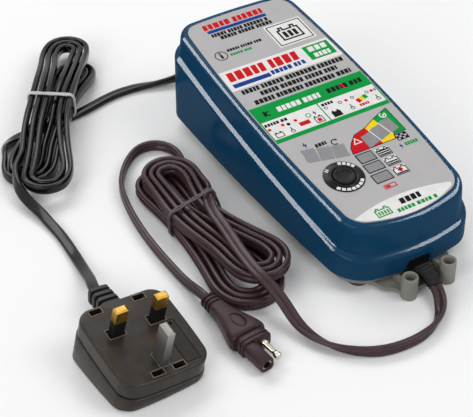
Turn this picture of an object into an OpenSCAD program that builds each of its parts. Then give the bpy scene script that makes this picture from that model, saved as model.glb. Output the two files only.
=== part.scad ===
// Battery charger with a mains lead, a battery lead and their end pieces.
// Millimetres, +Z up, origin on the floor under the middle of the case.

/* [Case] */
// Greatest width across the lower edge of the cover
case_w = 86; // [78:1:100]
// Length over the lower edge of the cover
case_l = 190; // [176:1:220]
// Height of the label plane over the floor at the middle of the case
label_z = 51; // [48:1:60]
// Fall of the label plane towards the front in degrees
label_tilt = 7.5; // [6:0.5:8.5]
// Height of the ledge over the floor at the middle of the case
ledge_z = 36; // [32:1:38]
// Fall of the ledge towards the front in degrees
ledge_tilt = 9; // [7:0.5:9.5]
// Height of the cover's lower edge over the floor
skirt_z = 9; // [8:0.5:11]
// Wall thickness of the cover
wall = 2.4; // [2:0.1:3]
// Outward spread from the label's edge to the lower edge
flare = 7.5; // [6.5:0.25:9]

/* [Label and button] */
// Thickness of the printed overlay
overlay_t = 0.5; // [0.3:0.1:0.6]
// Distance from the label's left edge to the middle of the button
button_in = 14.5; // [13:0.5:17]
// Place of the button along the label
button_y = -52.5; // [-56:0.5:-49]
// Radius of the black ring round the button
bezel_r = 11; // [10:0.25:12]
// Radius of the button cap
button_r = 6; // [5:0.25:6.5]
// Travel of the button
button_travel = 0.6; // [0.4:0.1:0.8]

/* [Base and ears] */
// Distance between the two fixing holes of one end
ear_dx = 24; // [22:0.5:28]
// Distance between the front and the back fixing holes
ear_dy = 207; // [203:1:230]
// Radius of the fixing holes
ear_hole_r = 2.6; // [2.1:0.1:2.8]
// Radius of the ear tubes
ear_r = 4.3; // [3.9:0.1:4.6]
// Height of the ear tubes
ear_h = 13.4; // [11:0.2:16]
// Thickness of the rubber feet
foot_h = 1.5; // [1:0.1:1.8]
// Radius of the rubber feet
foot_r = 5.5; // [4.5:0.25:6]
// Distance from the label's long edges to the middle of a foot
foot_in = 6.5; // [6:0.5:9]
// Distance from the ends of the case to the middle of a foot
foot_end = 15.5; // [15:0.5:20]

/* [Boards] */
// Width of the main board
board_w = 52; // [46:1:54]
// Length of the main board
board_l = 148; // [144:1:152]
// Height of the main board's underside over the floor
board_z = 10; // [9:0.5:11]
// Thickness of the boards
board_t = 1.6; // [1.2:0.1:2]
// Distance from the edges of the main board to its screws
board_in = 4; // [3.5:0.5:6]
// Radius of the line choke
choke_r = 10; // [8:0.5:11]
// Radius of the bulk capacitor
bulk_r = 10; // [8:0.5:12]
// Height of the bulk capacitor
bulk_h = 30; // [24:1:34]
// Length of the heat sinks
sink_l = 35; // [30:1:40]
// Height of the heat sinks
sink_h = 25; // [22:1:29]
// Thickness of the heat sinks
sink_t = 2.5; // [2:0.1:3]
// Radius of the output capacitors
out_r = 5; // [4:0.25:5.75]
// Height of the output capacitors
out_h = 18; // [14:1:21]

/* [Mains lead] */
// Width of the flat mains lead
mains_w = 6; // [5.2:0.1:6.2]
// Thickness of the flat mains lead
mains_t = 3.4; // [2.8:0.1:3.6]
// Loops in the mains hank
mains_loops = 5; // [5:5]

/* [Plug] */
// Width of the plug's face
plug_w = 47; // [45:0.5:50]
// Length of the plug's face
plug_l = 50.5; // [49.5:0.5:54]
// Lean of the plug's face towards its earth pin in degrees
plug_tilt = 10; // [8:0.5:11]
// Lean of the plug's face to the right in degrees
plug_roll = 6; // [3:0.5:7]
// Turn of the plug on the floor in degrees
plug_yaw = 3; // [0:0.5:6]
// Depth of the half that carries the pins
plug_base_h = 9; // [8.5:0.1:10]
// Distance between the line pins, and from them to the earth pin
pin_pitch = 22.2; // [22:0.1:22.4]

/* [Battery lead] */
// Width of the twin battery lead
dc_w = 6.6; // [5.6:0.1:6.8]
// Thickness of the twin battery lead
dc_t = 3.2; // [2.7:0.1:3.3]
// Loops in the battery lead's hank
dc_loops = 6; // [6:6]

/* [Connector] */
// Radius of the exposed contact pin
contact_r = 2; // [1.8:0.05:2.2]
// Length of the exposed contact pin in front of the collar
contact_l = 13; // [11:0.5:15]
// Distance between the two contacts
contact_dx = 8; // [7.9:0.1:8.6]
// Outer radius of the shrouded contact's nose
nose_r = 3.9; // [3.6:0.05:3.9]
// Length of the nose in front of the collar
nose_l = 14; // [12:0.5:17]
// Turn of the connector on the floor in degrees
conn_yaw = 5; // [0:0.5:8]

/* [Fits] */
// Room between the cover and the base
case_gap = 0.4; // [0.3:0.05:0.6]
// Room round the overlay and its windows
film_gap = 0.15; // [0.1:0.05:0.3]
// Room round moving pieces
move_gap = 0.35; // [0.3:0.05:0.5]
// Room round a screw in its hole
screw_gap = 0.05; // [0.03:0.01:0.1]

/* [Hidden] */
$fn = 48;

// Outline of the case: a rectangle with round corners and bowed edges.
low_bow = 2.5;
label_bow = 3.8;
low_front = 6.2;
label_front = 7.5;
back_bow = 1.5;
label_hw = case_w / 2 - low_bow - flare;
label_hl = case_l / 2 - flare - (low_front + back_bow) / 2;
label_r = 7;
shift_y = (low_front - back_bow) / 2;
function arc_pts(c, r, a) = [for (i = [0:6]) c + r * [cos(a + 15 * i), sin(a + 15 * i)]];
function between(a, b, n) = [for (i = [1:n - 1]) a + (b - a) * i / n];
function rounded(hw, hl, r) = concat(
  arc_pts([hw - r, hl - r], r, 0), between([hw - r, hl], [r - hw, hl], 8),
  arc_pts([r - hw, hl - r], r, 90), between([-hw, hl - r], [-hw, r - hl], 12),
  arc_pts([r - hw, r - hl], r, 180), between([r - hw, -hl], [hw - r, -hl], 8),
  arc_pts([hw - r, r - hl], r, 270), between([hw, r - hl], [hw, hl - r], 12));
function bowed(pts, hw, hl, side, front, back) = [for (p = pts)
  [p.x * (1 + side / hw * (1 - pow(p.y / hl, 2))),
   p.y * (1 + (p.y < 0 ? front : back) / hl * (1 - pow(p.x / hw, 2)))]];
function outline(o) = let(
  hw = label_hw + o, hl = label_hl + o, m = min(1, max(0, o / flare)),
  side = label_bow + (low_bow - label_bow) * m, front = label_front + (low_front - label_front) * m)
  [for (p = bowed(rounded(hw, hl, label_r + o), hw, hl, side, front, back_bow)) [p.x, p.y + shift_y]];
// Height over a plane: 0 is the floor, 1 the ledge, 2 the label.
function plane_z(k, y) = k == 0 ? 0 : k == 1 ? ledge_z + tan(ledge_tilt) * y
  : label_z + tan(label_tilt) * y;
function level(l) = [for (p = outline(l[0])) [p.x, p.y, plane_z(l[1], p.y) + l[2]]];

// A closed skin over rings of equal count.
module skin(rings, flip = false) {
  n = len(rings[0]);
  m = len(rings);
  pts = [for (r = rings) for (p = r) p];
  tris = [for (i = [0:m - 2]) for (j = [0:n - 1]) let(
    a = i * n + j, b = i * n + (j + 1) % n, c = a + n, d = b + n)
    each (flip ? [[a, b, d], [a, d, c]] : [[a, c, d], [a, d, b]])];
  first = [for (j = [0:n - 1]) flip ? n - 1 - j : j];
  last = [for (j = [0:n - 1]) (m - 1) * n + (flip ? j : n - 1 - j)];
  polyhedron(points = pts, faces = concat([first], tris, [last]), convexity = 8);
}
module on_label() {
  translate([0, 0, label_z]) rotate([label_tilt, 0, 0]) children();
}

// Windows on the label: middle x, middle y, width, height, turn.
// The left row and the column keep their place to the button, the right row to the label's edge.
button_x = button_in - label_hw;
column_x = button_x + 18;
WINDOWS = [[button_x - 6.5, -31, 6.6, 8.4, -10], [button_x + 1.5, -33, 7, 8.4, -14],
  [button_x + 9.3, -35, 6.6, 8.4, -16], [label_hw - 23.6, -35.2, 6, 7.2, 0],
  [label_hw - 15.6, -32.4, 6, 8, 0], [label_hw - 8.2, -30.2, 6, 8.4, 0],
  [column_x + 0.1, -45.3, 9.4, 6.8, 0], [column_x - 0.3, -53.3, 9.4, 6.6, 0],
  [column_x - 0.5, -61.1, 9.4, 6.6, 0]];
module window_boxes(grow, z0, z1) {
  for (w = WINDOWS) translate([w[0], w[1], z0]) rotate(w[4])
    translate([-w[2] / 2 - grow, -w[3] / 2 - grow, 0])
    cube([w[2] + 2 * grow, w[3] + 2 * grow, z1 - z0]);
}

// Places of screws, posts and feet.
case_posts = [for (y = [-62, 62]) for (s = [-1, 1]) [s * (label_hw - 2), y]];
board_posts = [for (t = [-1, 1]) for (s = [-1, 1])
  [s * (board_w / 2 - board_in), t * (board_l / 2 - board_in)]];
display_posts = [for (p = [[7.5, -67], [5, -23]]) for (s = [-1, 1]) [s * (label_hw - p.x), p.y]];
choke_y = 60;
link_y = -66;
post_z = 12;
notch_r = 7.6;
notch_z = 7.5;
gland_floor = 5.2;
board_top = board_z + board_t;
display_z = -10;
ear_y = ear_dy / 2;
gland_y = case_l / 2 + 3;
sleeve_l = 8;
gland_in = 12;
exit_z = 9.5;
COVER_IN = [[0.3, 2, -wall], [3.7 - wall, 2, -wall - 1.2], [4.2 - wall, 1, -1],
  [flare - wall - 0.15, 1, -wall - 0.4], [flare - wall, 0, skirt_z]];
COVER_OUT = [[flare, 0, skirt_z], [flare - 0.15, 1, -2.6], [flare - 0.5, 1, -1.1],
  [flare - 1.2, 1, -0.3], [flare - 2.2, 1, 0], [flare - 2.9, 1, 0.4], [flare - 3.3, 1, 1.6],
  [3.7, 2, -2.4], [3.5, 2, -1.1], [3, 2, -0.2], [2.2, 2, 0.4], [1.4, 2, 0.6], [0.5, 2, 0.6],
  [0.15, 2, 0.45], [0, 2, 0]];
module top_cover() {
  color("#123a56") difference() {
    union() {
      skin([for (l = concat(COVER_IN, COVER_OUT)) level(l)]);
      for (p = case_posts) translate([p.x, p.y, post_z])
        cylinder(r = 4, h = plane_z(2, p.y) - post_z - wall / 2);
      on_label() for (p = display_posts) translate([p.x, p.y, display_z])
        cylinder(r = 2.5, h = -display_z - wall / 2);
    }
    for (p = case_posts) translate([p.x, p.y, post_z - 1]) cylinder(r = 1.25, h = 13);
    on_label() window_boxes(-1.4, -4, 2);
    on_label() translate([button_x, button_y, -4]) cylinder(r = button_r + move_gap, h = 6);
    for (s = [-1, 1]) translate([0, s * (case_l / 2 - 6), notch_z])
      rotate([90, 0, 0]) cylinder(r = notch_r, h = 20, center = true);
  }
}

BASE_OUT = [[0.2, 0, foot_h], [1.2, 0, foot_h + 0.1], [2.6, 0, foot_h + 1.1], [3.8, 0, foot_h + 2.9],
  [flare - wall - case_gap - 0.2, 0, 7], [flare - wall - case_gap, 0, 9],
  [flare - wall - case_gap, 0, 13]];
BASE_IN = [[flare - wall - case_gap - 1.8, 0, 13], [flare - wall - case_gap - 1.8, 0, 7.5],
  [1.6, 0, 4.6], [0, 0, foot_h + 2.1]];
// Tongue under the ears: its sides curve in from the case to the ears.
// Each point is outward from an ear's middle and back from it.
TONGUE = [[15.5, 33.5], [15.2, 19.5], [12.9, 16.5], [11.3, 14.5], [10.3, 12], [9.7, 9.5], [8, 7.5],
  [5.4, 5.7], [4.2, 3.7]];
module tongue(s) {
  half = concat([for (p = TONGUE) [ear_dx / 2 + p.x, ear_y - p.y]], [[ear_dx / 2 + ear_r - 0.2, ear_y]]);
  m = len(half) - 1;
  mirror([0, s > 0 ? 0 : 1, 0]) translate([0, 0, foot_h]) linear_extrude(2)
    polygon(concat(half, [for (i = [0:m]) [-half[m - i].x, half[m - i].y]]));
}
module base_tray() {
  color("#a9a79e") difference() {
    union() {
      skin([for (l = concat(BASE_OUT, BASE_IN)) level(l)]);
      for (p = case_posts) translate([p.x, p.y, 3]) cylinder(r = 4, h = post_z - 3);
      for (p = board_posts) translate([p.x, p.y, 3]) cylinder(r = 3, h = board_z - 3);
      for (s = [-1, 1]) {
        tongue(s);
        for (t = [-1, 1]) {
          translate([t * ear_dx / 2, s * ear_y, 0]) cylinder(r = ear_r, h = ear_h);
          translate([t * ear_dx / 2 - 1.2, s > 0 ? 84 : -ear_y, foot_h]) cube([2.4, ear_y - 84, 5]);
        }
      }
    }
    for (p = case_posts) translate([p.x, p.y, 0]) {
      cylinder(r = 1.7, h = 20);
      cylinder(r = 3.4, h = 4.5);
    }
    for (p = board_posts) translate([p.x, p.y, 4.5]) cylinder(r = 1.25, h = 20);
    for (s = [-1, 1]) {
      for (t = [-1, 1]) translate([t * ear_dx / 2, s * ear_y, -1]) cylinder(r = ear_hole_r, h = 40);
      translate([-notch_r, s * (case_l / 2 - 6) - 9, gland_floor]) cube([2 * notch_r, 18, 20]);
    }
  }
}
module label_overlay() {
  color("#b4b2b3") on_label() difference() {
    linear_extrude(overlay_t)
      polygon([for (p = outline(-2 * film_gap)) [p.x, p.y / cos(label_tilt)]]);
    window_boxes(film_gap, -1, 2);
    translate([button_x, button_y, -1]) cylinder(r = button_r + move_gap + 0.2, h = 3);
  }
}
module indicator_windows() {
  color("#8f8e90") on_label() window_boxes(0, 0, overlay_t + 0.05);
}
module button_bezel() {
  color("#141414") on_label() translate([button_x, button_y, overlay_t]) difference() {
    union() {
      cylinder(r = bezel_r, h = 0.4);
      cylinder(r = button_r + 1.6, h = 1);
    }
    translate([0, 0, -1]) cylinder(r = button_r + move_gap, h = 4);
  }
}
module tune_button() {
  color("#2a2a2a") on_label() translate([button_x, button_y, 0]) rotate_extrude()
    polygon([[0, -5.5], [2, -5.5], [2, -wall - 1.5], [button_r + 1.2, -wall - 1.5],
      [button_r + 1.2, -wall - move_gap], [button_r, -wall - move_gap], [button_r, 1.4],
      [button_r - 0.5, 1.9], [button_r - 1.4, 1.9], [button_r - 2, 1.4], [0, 1.2]]);
}
module switch_actuator() {
  color("#111111") on_label() translate([button_x, button_y, -7]) cylinder(r = 1.7, h = 1.5);
}
module rubber_feet() {
  color("#3c403c") for (s = [-1, 1]) for (t = [-1, 1])
    translate([s * (label_hw - foot_in), t * (case_l / 2 - foot_end), 0]) cylinder(r = foot_r, h = foot_h);
}
module case_screws() {
  color("#9a9a9a") for (p = case_posts) translate([p.x, p.y, 0]) {
    translate([0, 0, 2.2]) cylinder(r = 3, h = 2.3);
    translate([0, 0, 4]) cylinder(r = 1.25 - screw_gap, h = 17);
  }
}

// Boards and what stands on them.
module main_board() {
  color("#1f6b3a") difference() {
    translate([-board_w / 2, -board_l / 2, board_z]) cube([board_w, board_l, board_t]);
    for (p = board_posts) translate([p.x, p.y, 0]) cylinder(r = 1.6, h = 40);
  }
}
module board_screws() {
  color("#b0b0b0") for (p = board_posts) translate([p.x, p.y, 0]) {
    translate([0, 0, board_top]) cylinder(r = 2.4, h = 1.8);
    translate([0, 0, 5.5]) cylinder(r = 1.25 - screw_gap, h = board_top - 5);
  }
}
module on_board(x, y) {
  translate([x, y, board_top]) children();
}
module input_fuse() {
  color("#c9c6b8") on_board(17, 50) {
    translate([0, 10, 3.4]) rotate([90, 0, 0]) cylinder(r = 2.6, h = 20);
    for (y = [-8.5, 4.5]) translate([-3, y, 0]) cube([6, 4, 3.4]);
  }
}
module line_choke() {
  color("#4a4a4a") on_board(-10, choke_y) difference() {
    cylinder(r = choke_r, h = 9);
    translate([0, 0, -1]) cylinder(r = 4, h = 12);
  }
}
module x_capacitor() {
  color("#d9b13b") on_board(-20.5, 37.5) cube([16, 9, 16]);
}
module bridge_rectifier() {
  color("#1c1c1c") on_board(4, 50) cube([4, 18, 14]);
}
module bulk_capacitor() {
  color("#20304a") on_board(4, 27) cylinder(r = bulk_r, h = bulk_h);
}
module transformer_core() {
  color("#3a3a3a") on_board(0, 0) difference() {
    translate([-17, -7, 0]) cube([34, 14, 28]);
    translate([-11, -8, 5]) cube([22, 16, 18]);
  }
}
module transformer_winding() {
  color("#d8b84a") on_board(0, 0) translate([-10.5, -12.5, 5]) cube([21, 25, 17]);
}
module switch_heatsink() {
  color("#b9bcc0") on_board(-22.5 - sink_t, -15) cube([sink_t, sink_l, sink_h]);
}
module power_transistors() {
  color("#1a1a1a") for (y = [-13, 9.5]) on_board(-22.5, y) translate([0, 0, 5]) cube([4.4, 10, 15]);
}
module output_heatsink() {
  color("#b9bcc0") on_board(22.5, -15) cube([sink_t, sink_l, sink_h]);
}
module output_diode() {
  color("#1a1a1a") on_board(18.1, -12) translate([0, 0, 5]) cube([4.4, 15, 15]);
}
module output_choke() {
  color("#8a5a2a") on_board(-12, -31) difference() {
    cylinder(r = 9, h = 10);
    translate([0, 0, -1]) cylinder(r = 4, h = 12);
  }
}
module output_capacitors() {
  color("#2b2f6b") for (p = [[6, -23], [6, -35], [18, -35]]) on_board(p.x, p.y)
    cylinder(r = out_r, h = out_h);
}
module output_relay() {
  color("#2e5fa3") on_board(-20.5, -63) cube([15, 19, 14]);
}
module controller_chip() {
  color("#111111") on_board(6, -57) cube([9, 9, 1.4]);
}
module display_board() {
  color("#1f6b3a") difference() {
    on_label() translate([2 - label_hw, -70, display_z - board_t]) cube([2 * label_hw - 4, 51, board_t]);
    for (p = case_posts) translate([p.x, p.y, 0]) cylinder(r = 4.4, h = 80);
  }
}
module display_link() {
  color("#d8d4c8") on_board(4, link_y) cube([16, 2.5, 17]);
}
module status_leds() {
  color("#e6e6e0") on_label() for (w = WINDOWS) translate([w[0], w[1], display_z])
    cylinder(r = 1.5, h = 4.5);
}
module tact_switch() {
  color("#222222") on_label() translate([button_x, button_y, display_z]) difference() {
    translate([-3, -3, 0]) cube([6, 6, 3.5]);
    translate([0, 0, 1.2]) cylinder(r = 1.7 + move_gap, h = 5);
  }
}

// Cable bushings at the two ends, and the wires behind them.
module gland_block(s) {
  intersection() {
    translate([0, s * (gland_y + case_l / 2 - gland_in) / 2, notch_z]) rotate([90, 0, 0])
      cylinder(r = notch_r - 0.3, h = gland_y - case_l / 2 + gland_in, center = true);
    translate([-20, -150, gland_floor]) cube([40, 300, 40]);
  }
}
module mains_gland() {
  color("#171717") {
    gland_block(1);
    translate([0, gland_y + sleeve_l, exit_z]) rotate([90, 0, 0])
      cylinder(r1 = 3.9, r2 = 4.8, h = sleeve_l + 0.5);
  }
}
module dc_gland() {
  color("#171717") gland_block(-1);
}
module mains_tails() {
  color("#7a4a2a") for (x = [-2.2, 2.2]) translate([x, case_l / 2 - gland_in, board_top + 1.1])
    rotate([90, 0, 0]) cylinder(r = 1.1, h = case_l / 2 - gland_in - choke_y - choke_r + 1);
}
module dc_tails() {
  color("#8a1f1f") for (x = [-2.2, 2.2]) translate([x, -case_l / 2 + gland_in, board_top + 1.1])
    rotate([-90, 0, 0]) cylinder(r = 1.1, h = case_l / 2 - gland_in + link_y - 3);
}

// Leads: an oval swept along points. Roll 0 stands the wide side up.
function unit(v) = v / norm(v);
function tangent(p, i) = unit(p[min(i + 1, len(p) - 1)] - p[max(i - 1, 0)]);
function oval(p, t, wide, thin, roll, n) = let(
  s = unit(cross(t, [0, 0, 1])), q = cross(s, t))
  [for (i = [0:n - 1]) let(
    a = 360 * (i + 0.5) / n, x = thin / 2 * cos(a), y = wide / 2 * sin(a))
    p + s * (x * cos(roll) - y * sin(roll)) + q * (x * sin(roll) + y * cos(roll))];
function ease(x) = let(c = min(1, max(0, x))) c * c * (3 - 2 * c);

// Hank: turn t runs up a right run, over a top fold, down a left run and round a bottom fold.
// The loops step in to the middle turn, climb or fall a layer at the waist and step out again.
// Spec: 0 turns, 1 first phase, 2 middle turn, 3 top and bottom reach, 4 inner folds top and bottom,
// 5 steps at the folds, 6 inner half width and step at the waist, 7 layer heights,
// 8 side shifts top and bottom by layer, 9 reach changes top and bottom by layer,
// 10 lift of the waist and its length, 11 middle of the waist, 12 heading, 13 late change of layer.
function mix(a, b, m) = a + (b - a) * m;
function hank_local(t, h) = let(
  f = h[1] + t - floor(h[1] + t),
  k = abs(h[2] - t),
  m = ease((t - h[2] - h[13]) / 0.11 + 0.5),
  rt = h[4][0] + h[5][0] * k,
  rb = h[4][1] + h[5][1] * k,
  top = h[3][0] + mix(h[9][0][0], h[9][1][0], m),
  bot = h[3][1] + mix(h[9][0][1], h[9][1][1], m),
  g = 4 * f - floor(4 * f),
  u = f < 0.25 ? mix(-bot, top, g) : f < 0.5 ? top + rt * sin(180 * g)
    : f < 0.75 ? mix(top, -bot, g) : -bot - rb * sin(180 * g),
  x = min(1, abs(u) / (u > 0 ? top : bot)),
  w = pow(1 - x * x, 2),
  lobe = mix(rb, rt, min(1, max(0, (u + bot) / (top + bot)))),
  half = mix(lobe, h[6][0] + h[6][1] * k, w),
  v = f < 0.25 ? half : f < 0.5 ? rt * cos(180 * g) : f < 0.75 ? -half : -rb * cos(180 * g),
  e = u > 0 ? 0 : 1,
  side = mix(h[8][0][e], h[8][1][e], m) * (1 - w),
  z = mix(h[7][0], h[7][1], m) + h[10][0] * exp(-pow(u / h[10][1], 4)))
  [u, v + side, z];
function hank_world(p, h) = [
  h[11].x + p[0] * cos(h[12]) + p[1] * sin(h[12]),
  h[11].y + p[0] * sin(h[12]) - p[1] * cos(h[12]), p[2]];
function hank_core(h, per) = [for (i = [0:round(per * h[0])]) hank_world(hank_local(i / per, h), h)];
function hank_path(h, wide) = let(c = hank_core(h, 24), n = len(c),
  a = unit(c[0] - c[1]), b = unit(c[n - 1] - c[n - 2]))
  concat([c[0] + a * wide], c, [c[n - 1] + b * wide]);
// Least room between turns, side by side or one over the other, on 96 points a turn.
function hank_gap(h, wide, thin) = let(p = hank_core(h, 96), n = len(p)) min([for (i = [1:n - 2]) let(
  t = tangent(p, i), s = unit(cross(t, [0, 0, 1])), q = cross(s, t),
  near = 0.75 * norm(p[i + 1] - p[i]))
  for (j = [i + 25:n - 1]) let(d = p[j] - p[i])
  if (abs(d * t) < near) norm([max(0, abs(d * s) - thin), max(0, abs(d * q) - wide)])]);
function length_of(p) = len(p) < 2 ? 0
  : [for (i = [0:len(p) - 2]) norm(p[i + 1] - p[i])] * [for (i = [0:len(p) - 2]) 1];
module lead(p, wide, thin, rolls, n, first, last) {
  m = len(p) - 1;
  skin([for (i = [0:m]) oval(p[i], i == 0 ? first : i == m ? last : tangent(p, i),
    wide, thin, rolls[i], n)], true);
}
module hank(h, wide, thin) {
  p = hank_path(h, wide);
  m = len(p) - 1;
  skin([for (i = [0:m]) oval(p[i], i <= 1 ? unit(p[1] - p[0]) : i >= m - 1 ? unit(p[m] - p[m - 1])
    : tangent(p, i), wide, thin, 0, 6)], true);
}
// The leads stay clear of the case when it grows.
spread = (case_w - 86) / 2;
push = (case_l - 190) / 2;
function aside(p, s) = [p.x - spread * min(1, max(0, -p.x / 40)), p.y + s * push, p.z];
MAINS_HANK = [mains_loops - 1 / 24, 0.745, 2.38, [52, 53], [3.6, 5], [mains_t + 0.6, mains_t + 0.7],
  [1.2, mains_t + 1], [mains_w / 2, mains_w * 1.5 + 1.1], [[5, -5], [-2, 7]], [[-8, -6.5], [7, 9.5]],
  [5.2, 40], [-99.3 - spread, 124 + push], 54, 0];
DC_HANK = [dc_loops, 0.21, 2.915, [40, 45], [3.4, 6], [dc_t + 0.65, dc_t + 0.95],
  [1.1, dc_t + 1.25], [dc_w * 1.5 + 1.1, dc_w / 2], [[4, 10], [0, 0]], [[-6, 3], [-3, 8]],
  [1.6, 30], [-78 - spread, -2 - push], 90, 0.03];
mains_path = hank_path(MAINS_HANK, mains_w);
dc_path = hank_path(DC_HANK, dc_w);
mains_a = mains_path[0];
mains_b = mains_path[len(mains_path) - 1];
dc_a = dc_path[0];
dc_b = dc_path[len(dc_path) - 1];

// Places of the plug and the connector.
plug_x = -149.6 - spread;
plug_y = -78 + push;
plug_z = 20.3;
relief_l = 22;
relief_fall = 4;
relief_dir = [-sin(relief_fall) * sin(plug_roll), cos(relief_fall), -sin(relief_fall) * cos(plug_roll)];
relief_root = [plug_x, plug_y + plug_l / 2 + 1.25, 11.5];
relief_end = relief_root + relief_dir * relief_l;
conn_x = -103.2 - spread;
conn_y = -57.5 - push;
conn_z = 6;

// Routes over the floor, from the case to the hanks and on to the plug and the connector.
// Heights of the mains lead lying flat, the battery lead on edge, and lying on its own hank.
mains_up = mains_t / 2 + 0.1;
dc_up = dc_w / 2 + 0.1;
dc_over = 2 * dc_w + 1.5 + dc_t / 2;
MAINS_IN = concat([[0, gland_y + sleeve_l, exit_z]], [for (p = [[-1.3, 112, 8.6], [-5, 116.8, 7.2],
  [-10.5, 119.8, 5.6], [-18, 121.6, 4.2], [-26, 123.6, 3.2], [-34, 126.2, 2.4],
  [-43, 128.4, mains_up + 0.1], [-53, 129, mains_up], [-63, 127.8, mains_up], [-74, 125, mains_up],
  [-86, 122.4, mains_up], [-98, 121, mains_up], [-110, 120.4, mains_up], [-119, 120, mains_up],
  [-126, 118.9, mains_up], [-131.4, 116.6, mains_up + 0.4], [-135, 113.2, 3.2],
  [-137.3, 109.2, 4.2]]) aside(p, 1)], [mains_a]);
MAINS_ROLL = [0, 0, 0, 0, 15, 40, 65, 85, 90, 90, 90, 90, 90, 90, 90, 85, 65, 40, 12, 0];
MAINS_OUT = concat([mains_b], [for (p = [[-141, 84.6, 9.9], [-145, 76.6, 9], [-146.6, 68, 7.6],
  [-146, 59.2, 5.7], [-144, 50.2, 3.9], [-142.7, 41, 2.4], [-141.9, 30, mains_up], [-142.3, 18, mains_up],
  [-143.3, 6, mains_up + 0.3], [-145, -6, 4], [-147.2, -17, 7.2]]) aside(p, 1)], [relief_end]);
MAINS_OUT_ROLL = [0, 0, 15, 40, 65, 85, 90, 90, 90, 90, 90, 90, 90];
DC_IN = concat([[0, -gland_y, exit_z]], [for (p = [[0, -105.5, 8], [-1.5, -114, 5.6],
  [-6.5, -122.5, dc_up + 0.5], [-14, -129, dc_up], [-25, -133, dc_up], [-37, -133.5, dc_up],
  [-49, -131, dc_up], [-59.5, -124.5, dc_up], [-67.4, -115.5, dc_up + 0.2], [-72, -106, dc_up + 0.9],
  [-74.2, -96, 6.2], [-74.9, -85.5, 10.6], [-76.4, -74.5, dc_over - 1.3], [-77.4, -63, dc_over + 0.2],
  [-76.8, -51, dc_over + 0.3], [-75.8, -41, dc_over + 0.5], [-74.7, -32, dc_over + 0.9],
  [-74, -24, dc_over + 1.5], [-73.4, -17, dc_over + 1.8], [-72.3, -10.4, dc_over + 1.9],
  [-70.5, -5, dc_over + 1.9], [-67.8, -0.6, dc_over + 1.6], [-64.9, 3.1, dc_over + 0.1],
  [-62.6, 7.3, dc_over - 2]]) aside(p, -1)], [dc_a]);
DC_ROLL = concat([90, 90, 80, 50, 20, 0, 0, 0, 15, 40, 65, 85], [for (i = [1:10]) 90], [82, 60, 25, 0]);
DC_OUT = concat([dc_b], [for (p = [[-60.4, 36.6, dc_up], [-57.2, 46, dc_up], [-55.2, 55.4, dc_up],
  [-56.6, 64, dc_up], [-62, 70.2, dc_up], [-70.4, 71.6, dc_up], [-79.5, 67.2, dc_up],
  [-88.2, 58.6, dc_up], [-95, 48.6, dc_up], [-99.8, 35, dc_up], [-102.8, 20, dc_up], [-104.6, 4, dc_up],
  [-105.3, -12, dc_up + 0.1], [-105.2, -28, dc_up + 0.2], [-104.5, -43, dc_up + 0.8]]) aside(p, -1)],
  [[conn_x, conn_y, conn_z]]);
module mains_lead_inner() {
  color("#141416") lead(MAINS_IN, mains_w, mains_t, MAINS_ROLL, 8, [0, 1, 0],
    unit(mains_path[1] - mains_a));
}
module mains_hank() {
  color("#141416") hank(MAINS_HANK, mains_w, mains_t);
}
module mains_lead_outer() {
  color("#141416") lead(MAINS_OUT, mains_w, mains_t, MAINS_OUT_ROLL, 8,
    unit(mains_b - mains_path[len(mains_path) - 2]), -relief_dir);
}
module dc_lead_inner() {
  color("#1c1416") lead(DC_IN, dc_w, dc_t, DC_ROLL, 8, [0, -1, 0], unit(dc_path[1] - dc_a));
}
module dc_hank() {
  color("#1c1416") hank(DC_HANK, dc_w, dc_t);
}
module dc_lead_outer() {
  color("#1c1416") lead(DC_OUT, dc_w, dc_t, [for (p = DC_OUT) 0], 8,
    unit(dc_b - dc_path[len(dc_path) - 2]), [sin(conn_yaw), -cos(conn_yaw), 0]);
}
union() {  // mains_hank
  echo(mains_hank_gap = hank_gap(MAINS_HANK, mains_w, mains_t));
  echo(mains_length = length_of(MAINS_IN) + length_of(mains_path) + length_of(MAINS_OUT));
}
union() {  // dc_hank
  echo(dc_hank_gap = hank_gap(DC_HANK, dc_w, dc_t));
  echo(dc_length = length_of(DC_IN) + length_of(dc_path) + length_of(DC_OUT));
}

// A tie is a thin band round the runs of a hank, with room for a lead that lies on top.
function runs_at(h, u0) = [for (i = [0:round(96 * h[0])]) let(p = hank_local(i / 96, h))
  if (abs(p[0] - u0) < 2.5) p];
module tie(h, u0, wide, thin, side, rise) {
  r = runs_at(h, u0);
  gap = 0.4;
  v0 = min([for (p = r) p[1]]) - thin / 2 - gap;
  v1 = max([for (p = r) p[1]]) + thin / 2 + gap + side;
  z0 = min([for (p = r) p[2]]) - wide / 2 - gap;
  z1 = max([for (p = r) p[2]]) + wide / 2 + gap + rise;
  translate([h[11].x, h[11].y, 0]) rotate(h[12]) translate([u0, -(v0 + v1) / 2, (z0 + z1) / 2])
    rotate([90, 0, 90]) linear_extrude(1.6, center = true) difference() {
      polygon(rounded((v1 - v0) / 2 + 1, (z1 - z0) / 2 + 1, 4));
      polygon(rounded((v1 - v0) / 2, (z1 - z0) / 2, 3));
    }
}
module mains_tie() {
  color("#c8c8c4") tie(MAINS_HANK, 2, mains_w, mains_t, 0, 0);
}
module dc_tie() {
  color("#5a5458") tie(DC_HANK, 1, dc_w, dc_t, 0.6, dc_t + 1);
}

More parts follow.
